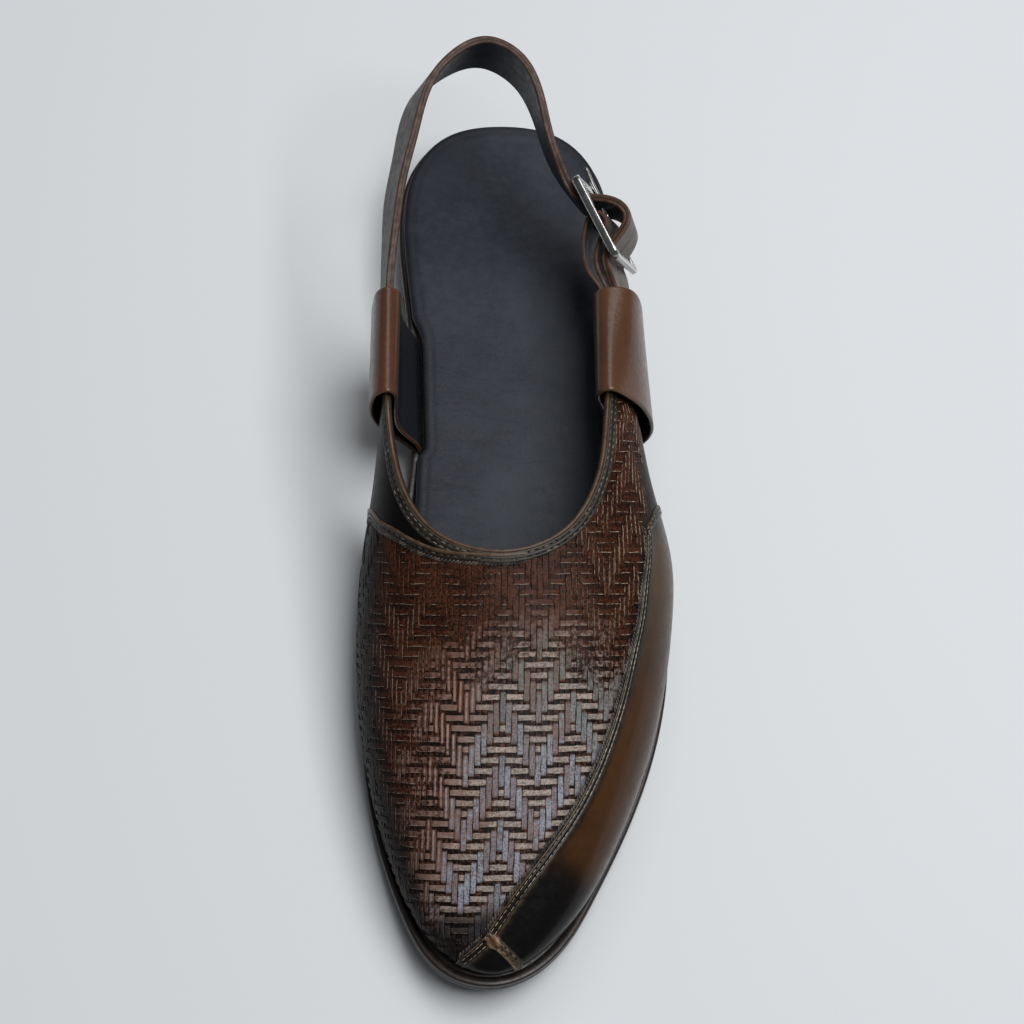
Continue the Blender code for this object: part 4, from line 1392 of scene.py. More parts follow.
class Cloth:
    """The woven sheet over the last: g runs across from the ridge, b along towards the heel."""

    LEAN = math.radians(24.0)      # the wefts lie in planes that lean forward by this much

    def __init__(self, last: Last) -> None:
        """Finds the last's points on a grid of g and b, by halving steps along the foot.

        Args:
            last: the shape that the shoe is made on.
        """
        self.last = last
        k = np.linspace(-2.0, 2.0, 241)
        self.b = np.arange(-234.0, -27.0, 1.0)
        kk, bb = (grid.ravel() for grid in np.meshgrid(k, self.b))
        low, high = np.full(kk.shape, last.tip_y + 0.05), np.full(kk.shape, -57.0)
        for _ in range(26):
            middle = (low + high) / 2.0
            points = last.station(kk, middle)
            over = self._level(points) > bb
            low, high = np.where(over, low, middle), np.where(over, middle, high)
        points = last.station(kk, (low + high) / 2.0).reshape(len(self.b), len(k), 3)
        self.g = np.arange(-80.0, 90.0, 0.5)
        table, shares = [], []
        for row in points:
            run = distances(row)
            run -= run[len(k) // 2]
            table.append(rows_at(self.g, run, row))
            shares.append(np.interp(self.g, run, k))
        self.table, self.shares = np.array(table), np.array(shares)
        self.normals = unit(np.cross(np.gradient(self.table, axis=1), np.gradient(self.table, axis=0)))

    def _level(self, points: Array) -> Array:
        """The b of points, one row each."""
        return points[:, 1] * math.cos(self.LEAN) + points[:, 2] * math.sin(self.LEAN)

    def _blend(self, table: Array, g: Array, b: Array) -> Array:
        """Values of a table over the sheet."""
        return between(table, (b - self.b[0]) / (self.b[1] - self.b[0]),
                       (g - self.g[0]) / (self.g[1] - self.g[0]))

    def at(self, g: Array, b: Array, lift: Array) -> Array:
        """Points of the sheet at a height over the last."""
        return self._blend(self.table, g, b) + unit(self._blend(self.normals, g, b)) * lift[:, None]

    def places(self, g: Array, b: Array) -> tuple[Array, Array, Array]:
        """k, x and y of points of the sheet."""
        points = self._blend(self.table, g, b)
        return self._blend(self.shares, g, b), points[:, 0], points[:, 1]

    def across(self, k: Array, y: Array) -> tuple[Array, Array]:
        """The g and b of places (k, y).

        Args:
            k: places round the last.
            y: stations along the foot.

        Returns:
            The two numbers of each place.
        """
        b = self._level(self.last.station(k, y))
        rows = np.clip(np.round(b - self.b[0]).astype(int), 0, len(self.b) - 1)
        g = np.array([np.interp(key, self.shares[row], self.g) for key, row in zip(k, rows)])
        return g, b


class Run(Enum):
    """Which way a strip of the weave runs."""

    WARP = "warp"
    WEFT = "weft"


@dataclass(frozen=True)
class Strip:
    """One strip of the weave, or the part of it that lies inside the weave's outline."""

    run: Run
    index: int
    along: Array          # places along it
    level: Array          # its place across at each of them
    tone: float = 0.0          # its own number, for its colour


@dataclass
class WovenVamp:
    """Herringbone of flat leather strips over a backing, from the toe to the outer ear."""

    warp_pitch: float = 1.85
    warp_width: float = 1.72
    weft_pitch: float = 3.2
    weft_width: float = 1.75
    float_length: int = 3          # strips passed over, then under
    turn_every: int = 6            # warps between turns of the herringbone
    high: float = 0.0              # lift of a strip's face where it passes over
    low: float = -0.36
    backing: float = -0.8
    ear_start: float = -93.0       # b where the warps have gathered into the ear
    gather: float = 0.5            # how far they gather
    wave: float = 0.07             # how much a strip's width and course vary
    shortest: float = 2.5          # length below which a strip is left out
    columns: Pair = (0.93, 0.62)   # length of a face along a warp and along a weft
    seed: int = 7

    PROFILE = ((-1.0, -0.26), (-0.97, -0.07), (-0.86, 0.0), (-0.60, 0.0), (0.0, 0.03), (0.60, 0.0),
               (0.86, 0.0), (0.97, -0.07), (1.0, -0.26), (0.0, -0.36), (-1.0, -0.26))

    def build(self, seams: Seams) -> None:
        """Makes the backing, the warps and the wefts.

        Args:
            seams: the upper's seams.
        """
        self.seams = seams
        self.cloth = Cloth(seams.last)
        self.outline = seams.woven_places()
        self.rng = random.Random(self.seed)
        self.build_backing()
        self.indices = np.arange(-42, 48)
        self.rows = np.arange(self.cloth.b[0] + 1.0, self.cloth.b[-1] - 1.0, self.weft_pitch)
        self.jitter = np.array([self.rng.uniform(-0.1, 0.1) for _ in self.indices])
        self._measure_ear()
        self.build_strips(Run.WARP)
        self.build_strips(Run.WEFT)

    def build_backing(self) -> None:
        """Makes the shell under the weave, reddish outside and navy inside."""
        outside = beside((0.5, self.backing, 0.0)) + across(0.02, 1.0, 34, self.backing, 0.5)
        lining = across(0.98, 0.02, 24, -WALL, 0.3) + beside((0.3, -WALL, 0.0))
        rows = outside + [(*row[:3], 1.0) for row in [(0.0, 1.0, -WALL, 0.0)] + lining]
        swept_piece("vamp_backing", self.seams.shell, rows, 230, GroundLeather("vamp_backing"),
                    lambda s, near, share, paint: {"inward": paint})

    def _measure_ear(self) -> None:
        """Finds where the ear's upper and lower edges lie on the sheet."""
        collar = self.seams.collar.at(np.linspace(0.62, 1.0, 90), 2.4, 0.0)
        upper = np.column_stack((self.seams.last.share(collar[:, 0], collar[:, 1]), collar[:, 1]))
        lower = np.vstack((self.seams.ear_places, ((1.97, -70.0), (1.97, -58.0))))
        self.ear_edges = []
        for places in (upper, lower):
            g, b = self.cloth.across(*places.T)
            order = np.argsort(b)
            self.ear_edges.append((b[order], g[order]))

    def warp_lines(self, b: float) -> Array:
        """The g of every warp at b: level over the vamp, gathered together in the ear.

        Args:
            b: place along the sheet.

        Returns:
            One g for each warp.
        """
        level = self.indices * self.warp_pitch + self.jitter
        top, foot = (np.interp((max(b, self.ear_start - 9.0), self.ear_start), *edge)
                     for edge in self.ear_edges)
        share = (level - top[1]) / (foot[1] - top[1])
        gathered = top[0] + share * (foot[0] - top[0])
        blend = self.gather * smooth_step(b, self.ear_start - 12.0, self.ear_start + 28.0)
        return level + (gathered - level) * blend

    def over(self, i: Array | int, j: Array | int) -> Array:
        """1 where warp i passes over weft j, and 0 where it passes under."""
        place = np.mod(i, 2 * self.turn_every)
        zigzag = np.minimum(place, 2 * self.turn_every - place)
        return (np.mod(j + zigzag, 2 * self.float_length) < self.float_length).astype(float)

    def _zones(self, g: Array, b: Array) -> Tones:
        """How strong the silver sheen (partly painted highlight) is, how burnished, and how much wear and
        painted highlight the strip edges have, at points of the sheet.

        Args:
            g: across the sheet.
            b: along the sheet.

        Returns:
            Numbers to paint, by name.
        """
        k, x, y = self.cloth.places(g, b)
        # the silver sheen is centred a little to the outer side, where the forepart faces the overhead light:
        # partly painted highlight
        middle = 6.0 + (y + 200.0) * 0.12
        reach = np.where(x < middle, 40.0 - 6.0 * smooth_step(y, -190.0, -230.0), 36.0)
        silver = (smooth_step(y, -146.0, -204.0) * smooth_step(y, -263.0, -248.0)
                  * np.exp(-(np.abs(x - middle) / reach) ** 2.6))
        border_x = np.interp(y, self.seams.border[::-1, 1], self.seams.border[::-1, 0])
        burnish = np.maximum.reduce((
            smooth_step(y, -240.0, -255.0),
            smooth_step(k, -0.40, -0.88) * (0.9 + 0.1 * smooth_step(y, -190.0, -230.0)),
            smooth_step(border_x - x, 4.0, 0.0) * 0.8 * (y < -128.0),
            smooth_step(y, -150.0, -141.0) * smooth_step(x, 12.0, -20.0) * 0.25))
        # wear and painted highlight on the strip edges, strongest at the outer throat and weaker under the
        # sheen
        wear = 0.62 + 0.38 * smooth_step(x, 12.0, 34.0) * smooth_step(y, -185.0, -140.0)
        wear = wear * smooth_step(k, -1.0, -0.5) * (1.0 - 0.75 * silver)
        return {"silver": silver, "burnish": burnish, "wear": wear}

    def build_strips(self, run: Run) -> None:
        """Makes all the warps or all the wefts.

        Args:
            run: which of them.
        """
        bm = bmesh.new()
        if run is Run.WARP:
            along = np.arange(self.cloth.b[0] + 0.5, self.cloth.b[-1] - 0.5, 0.4)
            lines = np.array([self.warp_lines(b) for b in along])
            for column, index in enumerate(self.indices):
                self._parts(bm, Strip(run, int(index), along, lines[:, column]))
        else:
            along = np.arange(-76.0, 86.0, 0.4)
            for index, b in enumerate(self.rows):
                wobble = self.rng.uniform(-0.12, 0.12)
                self._parts(bm, Strip(run, index, along, np.full(along.shape, b + wobble)))
        piece(f"vamp_{run.value}s", bm, WovenLeather("woven_calf"), sharp=24.0)

    def _parts(self, bm: bmesh.types.BMesh, strip: Strip) -> None:
        """Makes the parts of one strip that lie inside the weave's outline.

        Args:
            bm: the mesh being made.
            strip: the strip over the whole sheet.
        """
        along, level = strip.along, strip.level
        g, b = (level, along) if strip.run is Run.WARP else (along, level)
        k, _, y = self.cloth.places(g, b)
        held = inside(self.outline, k, y)
        held[[0, -1]] = False
        starts = np.flatnonzero(held & ~np.roll(held, 1))
        ends = np.flatnonzero(held & ~np.roll(held, -1))
        tone = 0.4 * self.rng.random() + (0.6 if strip.run is Run.WEFT else 0.0)
        for first, last in zip(starts, ends):
            if along[last] - along[first] > self.shortest:
                part = slice(first, last + 1)
                self._part(bm, Strip(strip.run, strip.index, along[part], level[part], tone))

    def _part(self, bm: bmesh.types.BMesh, strip: Strip) -> None:
        """Makes a strip: a flat tube with a crowned face that rises and dips between the others.

        Args:
            bm: the mesh being made.
            strip: the part of it that lies inside the outline.
        """
        profile = np.array(self.PROFILE)
        warp, along, level = strip.run is Run.WARP, strip.along, strip.level
        half = (self.warp_width if warp else self.weft_width) / 2.0
        phase = self.rng.uniform(0.0, 6.0)
        drift = self.rng.uniform(-0.05, 0.05)
        lines = None if warp else self.warp_lines(float(level[0]))

        def state(crossed: Array) -> Array:
            """1 where this strip passes over the strips of the given numbers."""
            if warp:
                return self.over(strip.index, crossed)
            return 1.0 - self.over(crossed, strip.index)

        def rise(t: Array) -> Array:
            """How high the strip stands at places along it, from 0 to 1.

            Args:
                t: places along the strip.

            Returns:
                A height for each place.
            """
            crossed = (t - self.rows[0]) / self.weft_pitch if warp else np.interp(t, lines, self.indices)
            base = np.floor(crossed)
            step = smooth_step(crossed - base, 0.22, 0.78)
            return state(base) * (1.0 - step) + state(base + 1.0) * step

        def spread(u: Array, v: Array) -> tuple[Array, ...]:
            """The g, b and lift of points, and their place across the strip.

            Args:
                u: along the piece, from 0 to 1.
                v: round its section, from 0 to 1.

            Returns:
                Those four numbers.
            """
            t = along[0] + (along[-1] - along[0]) * u
            aside, drop = along_table(v, profile).T
            width = half * (1.0 + self.wave * np.sin(t * 0.9 + phase))
            centre = np.interp(t, along, level) + self.wave * np.sin(t * 0.37 + phase)
            side = centre + aside * width
            lift = self.low + (self.high - self.low) * rise(t) + drop + drift
            if warp:
                return side, t, lift, aside
            return t, side, lift - 0.30 * smooth_step(side, -124.0, -108.0), aside

        def place(u: Array, v: Array) -> Array:
            """Points of the strip."""
            return self.cloth.at(*spread(u, v)[:3])

        def tones(u: Array, v: Array) -> Tones:
            """Numbers to paint; only the warps' sides and the wefts' rear edges get wear and painted
            highlight.

            Args:
                u: along the piece, from 0 to 1.
                v: round its section, from 0 to 1.

            Returns:
                Numbers to paint, by name.
            """
            g, b, _, aside = spread(u, v)
            painted = self._zones(g, b)
            edge = np.abs(aside) if warp else np.clip(-aside, 0.0, 1.0)
            if warp:
                # the warps' sides get more wear and painted highlight on the outer side and beside the inner
                # throat
                sides = np.clip(smooth_step(g, 14.0, 30.0)
                                + smooth_step(g, -12.0, -30.0) * smooth_step(b, -112.0, -132.0), 0.0, 1.0)
                painted["wear"] = painted["wear"] * (0.08 + 0.5 * sides)
            painted.update(rise=rise(b if warp else g), edge=edge, tone=np.full(u.shape, strip.tone))
            return painted

        length = along[-1] - along[0]
        columns = max(int(length / self.columns[0 if warp else 1]), 3)
        sweep(bm, columns, len(profile) - 1, place, wrap=True, tones=tones, uv_scale=(length, 3.0))


# ---- leather of the upper ---------------------------------
@dataclass
class SideBand:
    """Smooth band along the outer side, its upper edge folded over the weave and sewn twice."""

    rows: Pair = (0.85, 2.2)    # distances of the stitch rows from the fold
    end_rows: Pair = (0.9, 2.3)
    sheet: float = 0.95
    seed: int = 11

    def section(self) -> Section:
        """The band's cross-section, from under the fold over the face and back.

        Returns:
            Rows of the section.
        """
        first, second = self.rows
        fold = beside(
            (0.35, -1.0, 0.0), (0.02, -0.5, 0.0), (-0.12, -0.1, 0.1), (0.0, 0.18, 0.5),
            (0.18, 0.30, 1.0), (0.36, 0.33, 0.2), (first - 0.26, 0.28, 0.0), (first, 0.10, 0.0),
            (first + 0.28, 0.28, 0.0), ((first + second) / 2.0, 0.30, 0.12),
            (second - 0.28, 0.26, 0.0), (second, 0.08, 0.0), (second + 0.28, 0.26, 0.1),
            (second + 0.75, 0.30, 0.35), (second + 1.4, 0.16, 0.1), (second + 2.6, 0.02, 0.0))
        return (fold + across(0.1, 1.0, 30, 0.0, second + 3.2)
                + [(0.0, 1.0, -self.sheet, 0.0)] + across(0.95, 0.08, 16, -self.sheet, 3.0))

    def tones(self, s: Array, near: Array, share: Array, paint: Array) -> Tones:
        """Black towards the toe, along the fold and above the sole; worn, with painted highlight, on the
        fold's ridges; painted reflection of the floor, greyer towards the lower edge and paler there towards
        the rear.

        Args:
            s: places along the seam.
            near: distance from it.
            share: share of the width.
            paint: how much wear and painted highlight the section has there.

        Returns:
            Numbers to paint, by name.
        """
        burnish = np.maximum.reduce((
            smooth_step(s, 0.68, 0.86), 0.96 * smooth_step(near + share * 45.0, 6.0, 2.6),
            0.55 * smooth_step(share, 0.8, 1.0), 0.9 * smooth_step(s, 0.10, 0.0)))
        worn_and_sheen = paint * (0.3 + 0.3 * smooth_step(s, 0.35, 0.95))
        # painted reflection of the floor: paler on the band's lower half, towards the rear
        pale = 0.10 * smooth_step(share, 0.5, 0.85) * smooth_step(s, 0.75, 0.45)
        # olive: the band's own tone at the rear, plus painted reflection greying it towards the lower edge
        return {"burnish": burnish * (1.0 - 0.5 * paint), "wear": np.maximum(0.7 * worn_and_sheen, pale),
                "olive": 0.6 * smooth_step(s, 0.42, 0.12) + 0.2 * smooth_step(share, 0.4, 0.9)}

    def build(self, seams: Seams) -> None:
        """Makes the band, its folded ends, the toe piece, the stitches and the corded edge.

        Args:
            seams: the upper's seams.
        """
        rng = random.Random(self.seed)
        leather = BurnishedLeather("band_calf")
        swept_piece("side_band", seams.side, self.section(), 240, leather, self.tones)
        swept_piece("toe_piece", seams.toe, self.section(), 40, leather, rubbed(1.0, 0.5, 0.3))
        self.build_end("side_band_rear_fold", turned(seams.side, 0.0, 6.0), WHOLE, 0.15, leather, rng)
        self.build_end("side_band_toe_fold", turned(seams.side, 1.0, -5.0), (0.0, 0.86), 1.0, leather, rng)

        bm = bmesh.new()
        for distance in self.rows:
            Stitch(2.1, 1.85, 0.15).row(bm, seams.side, distance, 0.19, rng, (0.005, 0.985))
            Stitch(2.0, 1.7, 0.15).row(bm, seams.toe, distance, 0.19, rng, (0.1, 0.85))
        piece("border_stitches", bm, Thread("border_thread", (0.13, 0.10, 0.07), (0.40, 0.33, 0.24)))

        bm = bmesh.new()
        cord(0.42).row(bm, seams.side, -0.75, -0.02, rng)
        cord(0.40).row(bm, seams.toe, -0.75, -0.02, rng, (0.0, 0.9))
        piece("border_cord", bm, BORDER_CORD)
        self.build_knot(seams.side, leather)

    def build_knot(self, swath: Swath, leather: Finish) -> None:
        """Makes the knot of leather in which the band's fold ends at the toe.

        Args:
            swath: the surface beside the fold.
            leather: the knot's finish.
        """
        corner, along = (Vector(p) for p in swath.at(np.array((0.992, 0.997)), 3.0, 0.2))
        turn = (along - corner).to_track_quat("X", "Z").to_matrix().to_4x4()
        size = Matrix.Diagonal((2.3, 2.7, 0.85, 1.0))
        bm = bmesh.new()
        layer = bm.verts.layers.float.new("wear")
        bmesh.ops.create_icosphere(bm, subdivisions=3, radius=1.0,
                                   matrix=Matrix.Translation(corner) @ turn @ size)
        for vert in bm.verts:
            vert.co += (vert.co - corner) * 0.12 * math.sin(vert.co.x * 3.1) * math.cos(vert.co.y * 2.7)
            crumple = math.sin(vert.co.x * 2.3 + vert.co.y * 1.7)
            vert[layer] = float(0.6 * smooth_step(crumple, -0.6, 0.8))
        piece("toe_knot", bm, leather)

    def build_end(self, name: str, swath: Swath, span: Pair, worn_and_sheen: float,
                  leather: Finish, rng: random.Random) -> None:
        """Makes a folded end of the band: a raised hem with its own two rows of stitches.

        Args:
            name: name of the piece.
            swath: the surface beside the end.
            span: how much of the end the hem covers.
            worn_and_sheen: how worn it is.
            leather: its finish.
            rng: makes the stitches differ.
        """
        hem = beside(
            (0.0, -0.9, 0.2), (-0.25, -0.3, 0.6), (-0.2, 0.2, 1.0), (0.2, 0.52, 1.0), (0.6, 0.5, 0.5),
            (0.9, 0.3, 0.0), (1.2, 0.5, 0.3), (2.0, 0.5, 0.2), (2.3, 0.28, 0.0), (2.6, 0.42, 0.3),
            (3.1, 0.25, 0.1), (3.5, -0.1, 0.0), (3.0, -0.5, 0.0))
        dark = 0.7 + 0.3 * worn_and_sheen
        swept_piece(name, swath, hem, 60, leather, rubbed(dark, 0.8 * worn_and_sheen * dark, 0.6 * worn_and_sheen), span)
        bm = bmesh.new()
        for distance in self.end_rows:
            Stitch(2.2, 1.7, 0.22).row(bm, swath, distance, 0.42, rng, span)
        piece(f"{name}_stitches", bm, END_THREAD)


@dataclass
class InnerQuarter:
    """Smooth leather of the inner ear, which runs to a point beside the throat."""

    sheet: float = 0.9
    seed: int = 23
    seam: float = 1.35         # distance of the stitches from the vamp's fold
    cord_place: float = 3.0    # distance of the cord from it

    def tones(self, s: Array, near: Array, share: Array, _paint: Array) -> Tones:
        """Almost black at the throat and low down, greyer up the ear."""
        return {"burnish": np.maximum.reduce((
            0.96 * smooth_step(s, 0.34, 0.52), 0.55 * smooth_step(share, 0.5, 1.0),
            0.6 * smooth_step(near + share * 20.0, 7.0, 2.0)))}

    def facing_tones(self, _s: Array, _near: Array, share: Array,
                     _paint: Array) -> Tones:
        """Darker low down on the outer ear's facing."""
        return {"burnish": 0.35 + 0.4 * smooth_step(share, 0.5, 1.0)}

    def panel(self, edge: Section, face: int, back: int, lift: float, margin: float) -> Section:
        """Cross-section of a flat panel.

        Args:
            edge: rows of its rolled upper edge.
            face: rows over its face.
            back: rows back under it.
            lift: of the face.
            margin: distance from the seam at which the face starts.

        Returns:
            Its rows.
        """
        return (edge + across(0.04, 0.98, face, lift, margin)
                + [(0.0, 1.0, -0.3, 0.0), (0.0, 1.0, -self.sheet, 0.0)]
                + across(0.94, 0.08, back, -self.sheet, margin))

    def build(self, seams: Seams) -> None:
        """Makes the quarter, the outer ear's facing and the folded edge of the vamp.

        Args:
            seams: the upper's seams.
        """
        rng = random.Random(self.seed)
        leather = BurnishedLeather("quarter_calf", (0.026, 0.019, 0.014), roughness=0.36, coat=0.02,
                                   ior=1.16)
        rows = self.panel(beside((0.4, -0.8, 0.0), (0.5, -0.1, 0.0)), 26, 14, -0.02, 0.6)
        swept_piece("inner_quarter", seams.quarter, rows, 150, leather, self.tones)
        rows = self.panel(beside((-1.2, -0.85, 0.0), (-1.2, -0.35, 0.0)), 18, 10, -0.12, 0.4)
        swept_piece("outer_ear_facing", seams.ear, rows, 70, leather, self.facing_tones, (0.0, 0.97))
        hem = beside(
            (0.3, -0.9, 0.1), (-0.35, -0.3, 0.6), (-0.4, 0.2, 1.0), (0.0, 0.52, 1.0), (0.6, 0.46, 0.6),
            (1.0, 0.3, 0.1), (self.seam, 0.12, 0.0), (1.7, 0.28, 0.2), (2.3, 0.2, 0.1),
            (2.7, -0.2, 0.0), (2.2, -0.7, 0.0))
        leather = BurnishedLeather("fold_calf", (0.055, 0.026, 0.016))
        swept_piece("vamp_fold", seams.vamp_edge, hem, 150, leather, rubbed(0.85, 0.75, 0.18))

        bm = bmesh.new()
        Stitch(2.4, 1.7, 0.23).row(bm, seams.vamp_edge, self.seam, 0.22, rng)
        piece("vamp_fold_stitches", bm, Thread("dark_thread", (0.012, 0.010, 0.009), (0.09, 0.075, 0.06)))
        bm = bmesh.new()
        cord(0.4).row(bm, seams.vamp_edge, self.cord_place, -0.05, rng, (0.04, 1.0))
        piece("vamp_fold_cord", bm, BORDER_CORD)


@dataclass
class Collar:
    """Bound edge of the opening: a brown cut edge, then a dark band with two rows of stitches."""

    rows: Pair = (1.75, 3.2)
    seed: int = 31

    def build(self, seams: Seams) -> None:
        """Makes the binding, the band and its stitches.

        Args:
            seams: the upper's seams.
        """
        rng = random.Random(self.seed)
        first, second = self.rows
        edge = beside(
            (0.9, -0.6, 0.0), (0.85, 0.1, 0.2), (0.45, 0.3, 0.7), (0.0, 0.22, 1.0), (-0.3, -0.1, 0.8),
            (-0.4, -0.6, 0.3), (-0.36, -1.2, 0.1), (-0.15, -1.7, 0.0), (0.3, -1.82, 0.0),
            (0.9, -1.78, 0.0))
        leather = BurnishedLeather("cut_edge", (0.052, 0.021, 0.012), roughness=0.4, ior=1.3)
        swept_piece("collar_binding", seams.collar, edge, 260, leather, rubbed(0.45, 0.45, 0.16))
        band = beside(
            (0.75, -0.5, 0.0), (0.72, 0.15, 0.2), (0.95, 0.4, 1.0), (1.35, 0.42, 0.7),
            (first, 0.18, 0.0), (first + 0.35, 0.4, 0.3), (second - 0.4, 0.42, 0.3),
            (second, 0.2, 0.0), (second + 0.3, 0.36, 0.5), (second + 0.7, 0.28, 0.6),
            (second + 0.95, -0.1, 0.1), (second + 0.6, -0.6, 0.0))
        leather = BurnishedLeather("collar_calf", (0.024, 0.017, 0.013), roughness=0.38, coat=0.04,
                                   ior=1.3)
        swept_piece("collar_band", seams.collar, band, 260, leather, rubbed(0.75, 0.5, 0.12))
        bm = bmesh.new()
        for distance in self.rows:
            Stitch(2.3, 1.7, 0.24).row(bm, seams.collar, distance, 0.3, rng)
        piece("collar_stitches", bm, Thread("collar_thread", (0.022, 0.018, 0.015), (0.17, 0.14, 0.11)))


# ---- soles ------------------------------------------------
def inward_of(outline: Array) -> Array:
    """Directions into a closed outline at each of its points."""
    ahead = unit(np.roll(outline, -1, axis=0) - np.roll(outline, 1, axis=0))
    return np.column_stack((ahead[:, 1], -ahead[:, 0]))


@dataclass
class Plate:
    """A layer of the sole: an outline, and the section that its rim follows."""

    outline: Array
    section: Section           # inset, 0 from the top or 1 from the underside, height, paint
    top: Callable[[Array], Array]
    bottom: Callable[[Array], Array]
    across: int = 14
    crown: float = 0.0

    def build(self, bm: bmesh.types.BMesh, stations: int, tones: Callable[..., Tones]) -> None:
        """Adds the layer to a mesh.

        Args:
            bm: the mesh being made.
            stations: faces from heel to toe.
            tones: gives numbers to paint from y and the section's paint column.
        """
        outer = [(1.0, *row) for row in self.section]
        under = [(1.0 - 2.0 * i / 4.0, *self.section[-1]) for i in range(1, 4)]
        inner = [(-1.0, *row) for row in reversed(self.section)]
        over = [(-1.0 + 2.0 * i / self.across, *self.section[0]) for i in range(1, self.across)]
        table = np.array((*outer, *under, *inner, *over, outer[0]))
        inward = inward_of(self.outline)
        half = len(self.outline) // 2
        indices = np.arange(half + 1)

        def rail(u: Array, inset: Array, order: Array) -> Array:
            """Points of one half of the outline, moved inwards."""
            place = u * half
            return (rows_at(place, indices, self.outline[order])
                    + inset[:, None] * rows_at(place, indices, inward[order]))

        def where(u: Array, v: Array) -> tuple[Array, Array]:
            """Points of the layer, and the section's paint there.

            Args:
                u: along the piece, from 0 to 1.
                v: round its section, from 0 to 1.

            Returns:
                The points and their paint.
            """
            side, inset, below, height, paint = along_table(v, table).T
            near = rail(u, inset, indices)
            far = rail(u, inset, -indices)
            plan = far + (near - far) * (side[:, None] + 1.0) / 2.0
            z = self.top(plan[:, 1]) * (1.0 - below) + self.bottom(plan[:, 1]) * below + height
            width = np.linalg.norm(near - far, axis=1)
            z += self.crown * (1.0 - below) * (1.0 - side ** 2) * np.clip(width / 40.0, 0.0, 1.0)
            return np.column_stack((plan, z)), paint

        def place(u: Array, v: Array) -> Array:
            """Points of the layer."""
            return where(u, v)[0]

        def painted(u: Array, v: Array) -> Tones:
            """Numbers to paint."""
            points, paint = where(u, v)
            return tones(points[:, 1], paint)

        sweep(bm, stations, len(table) - 1, place, wrap=True, pinch=True, tones=painted,
              uv_scale=(300.0, 100.0))


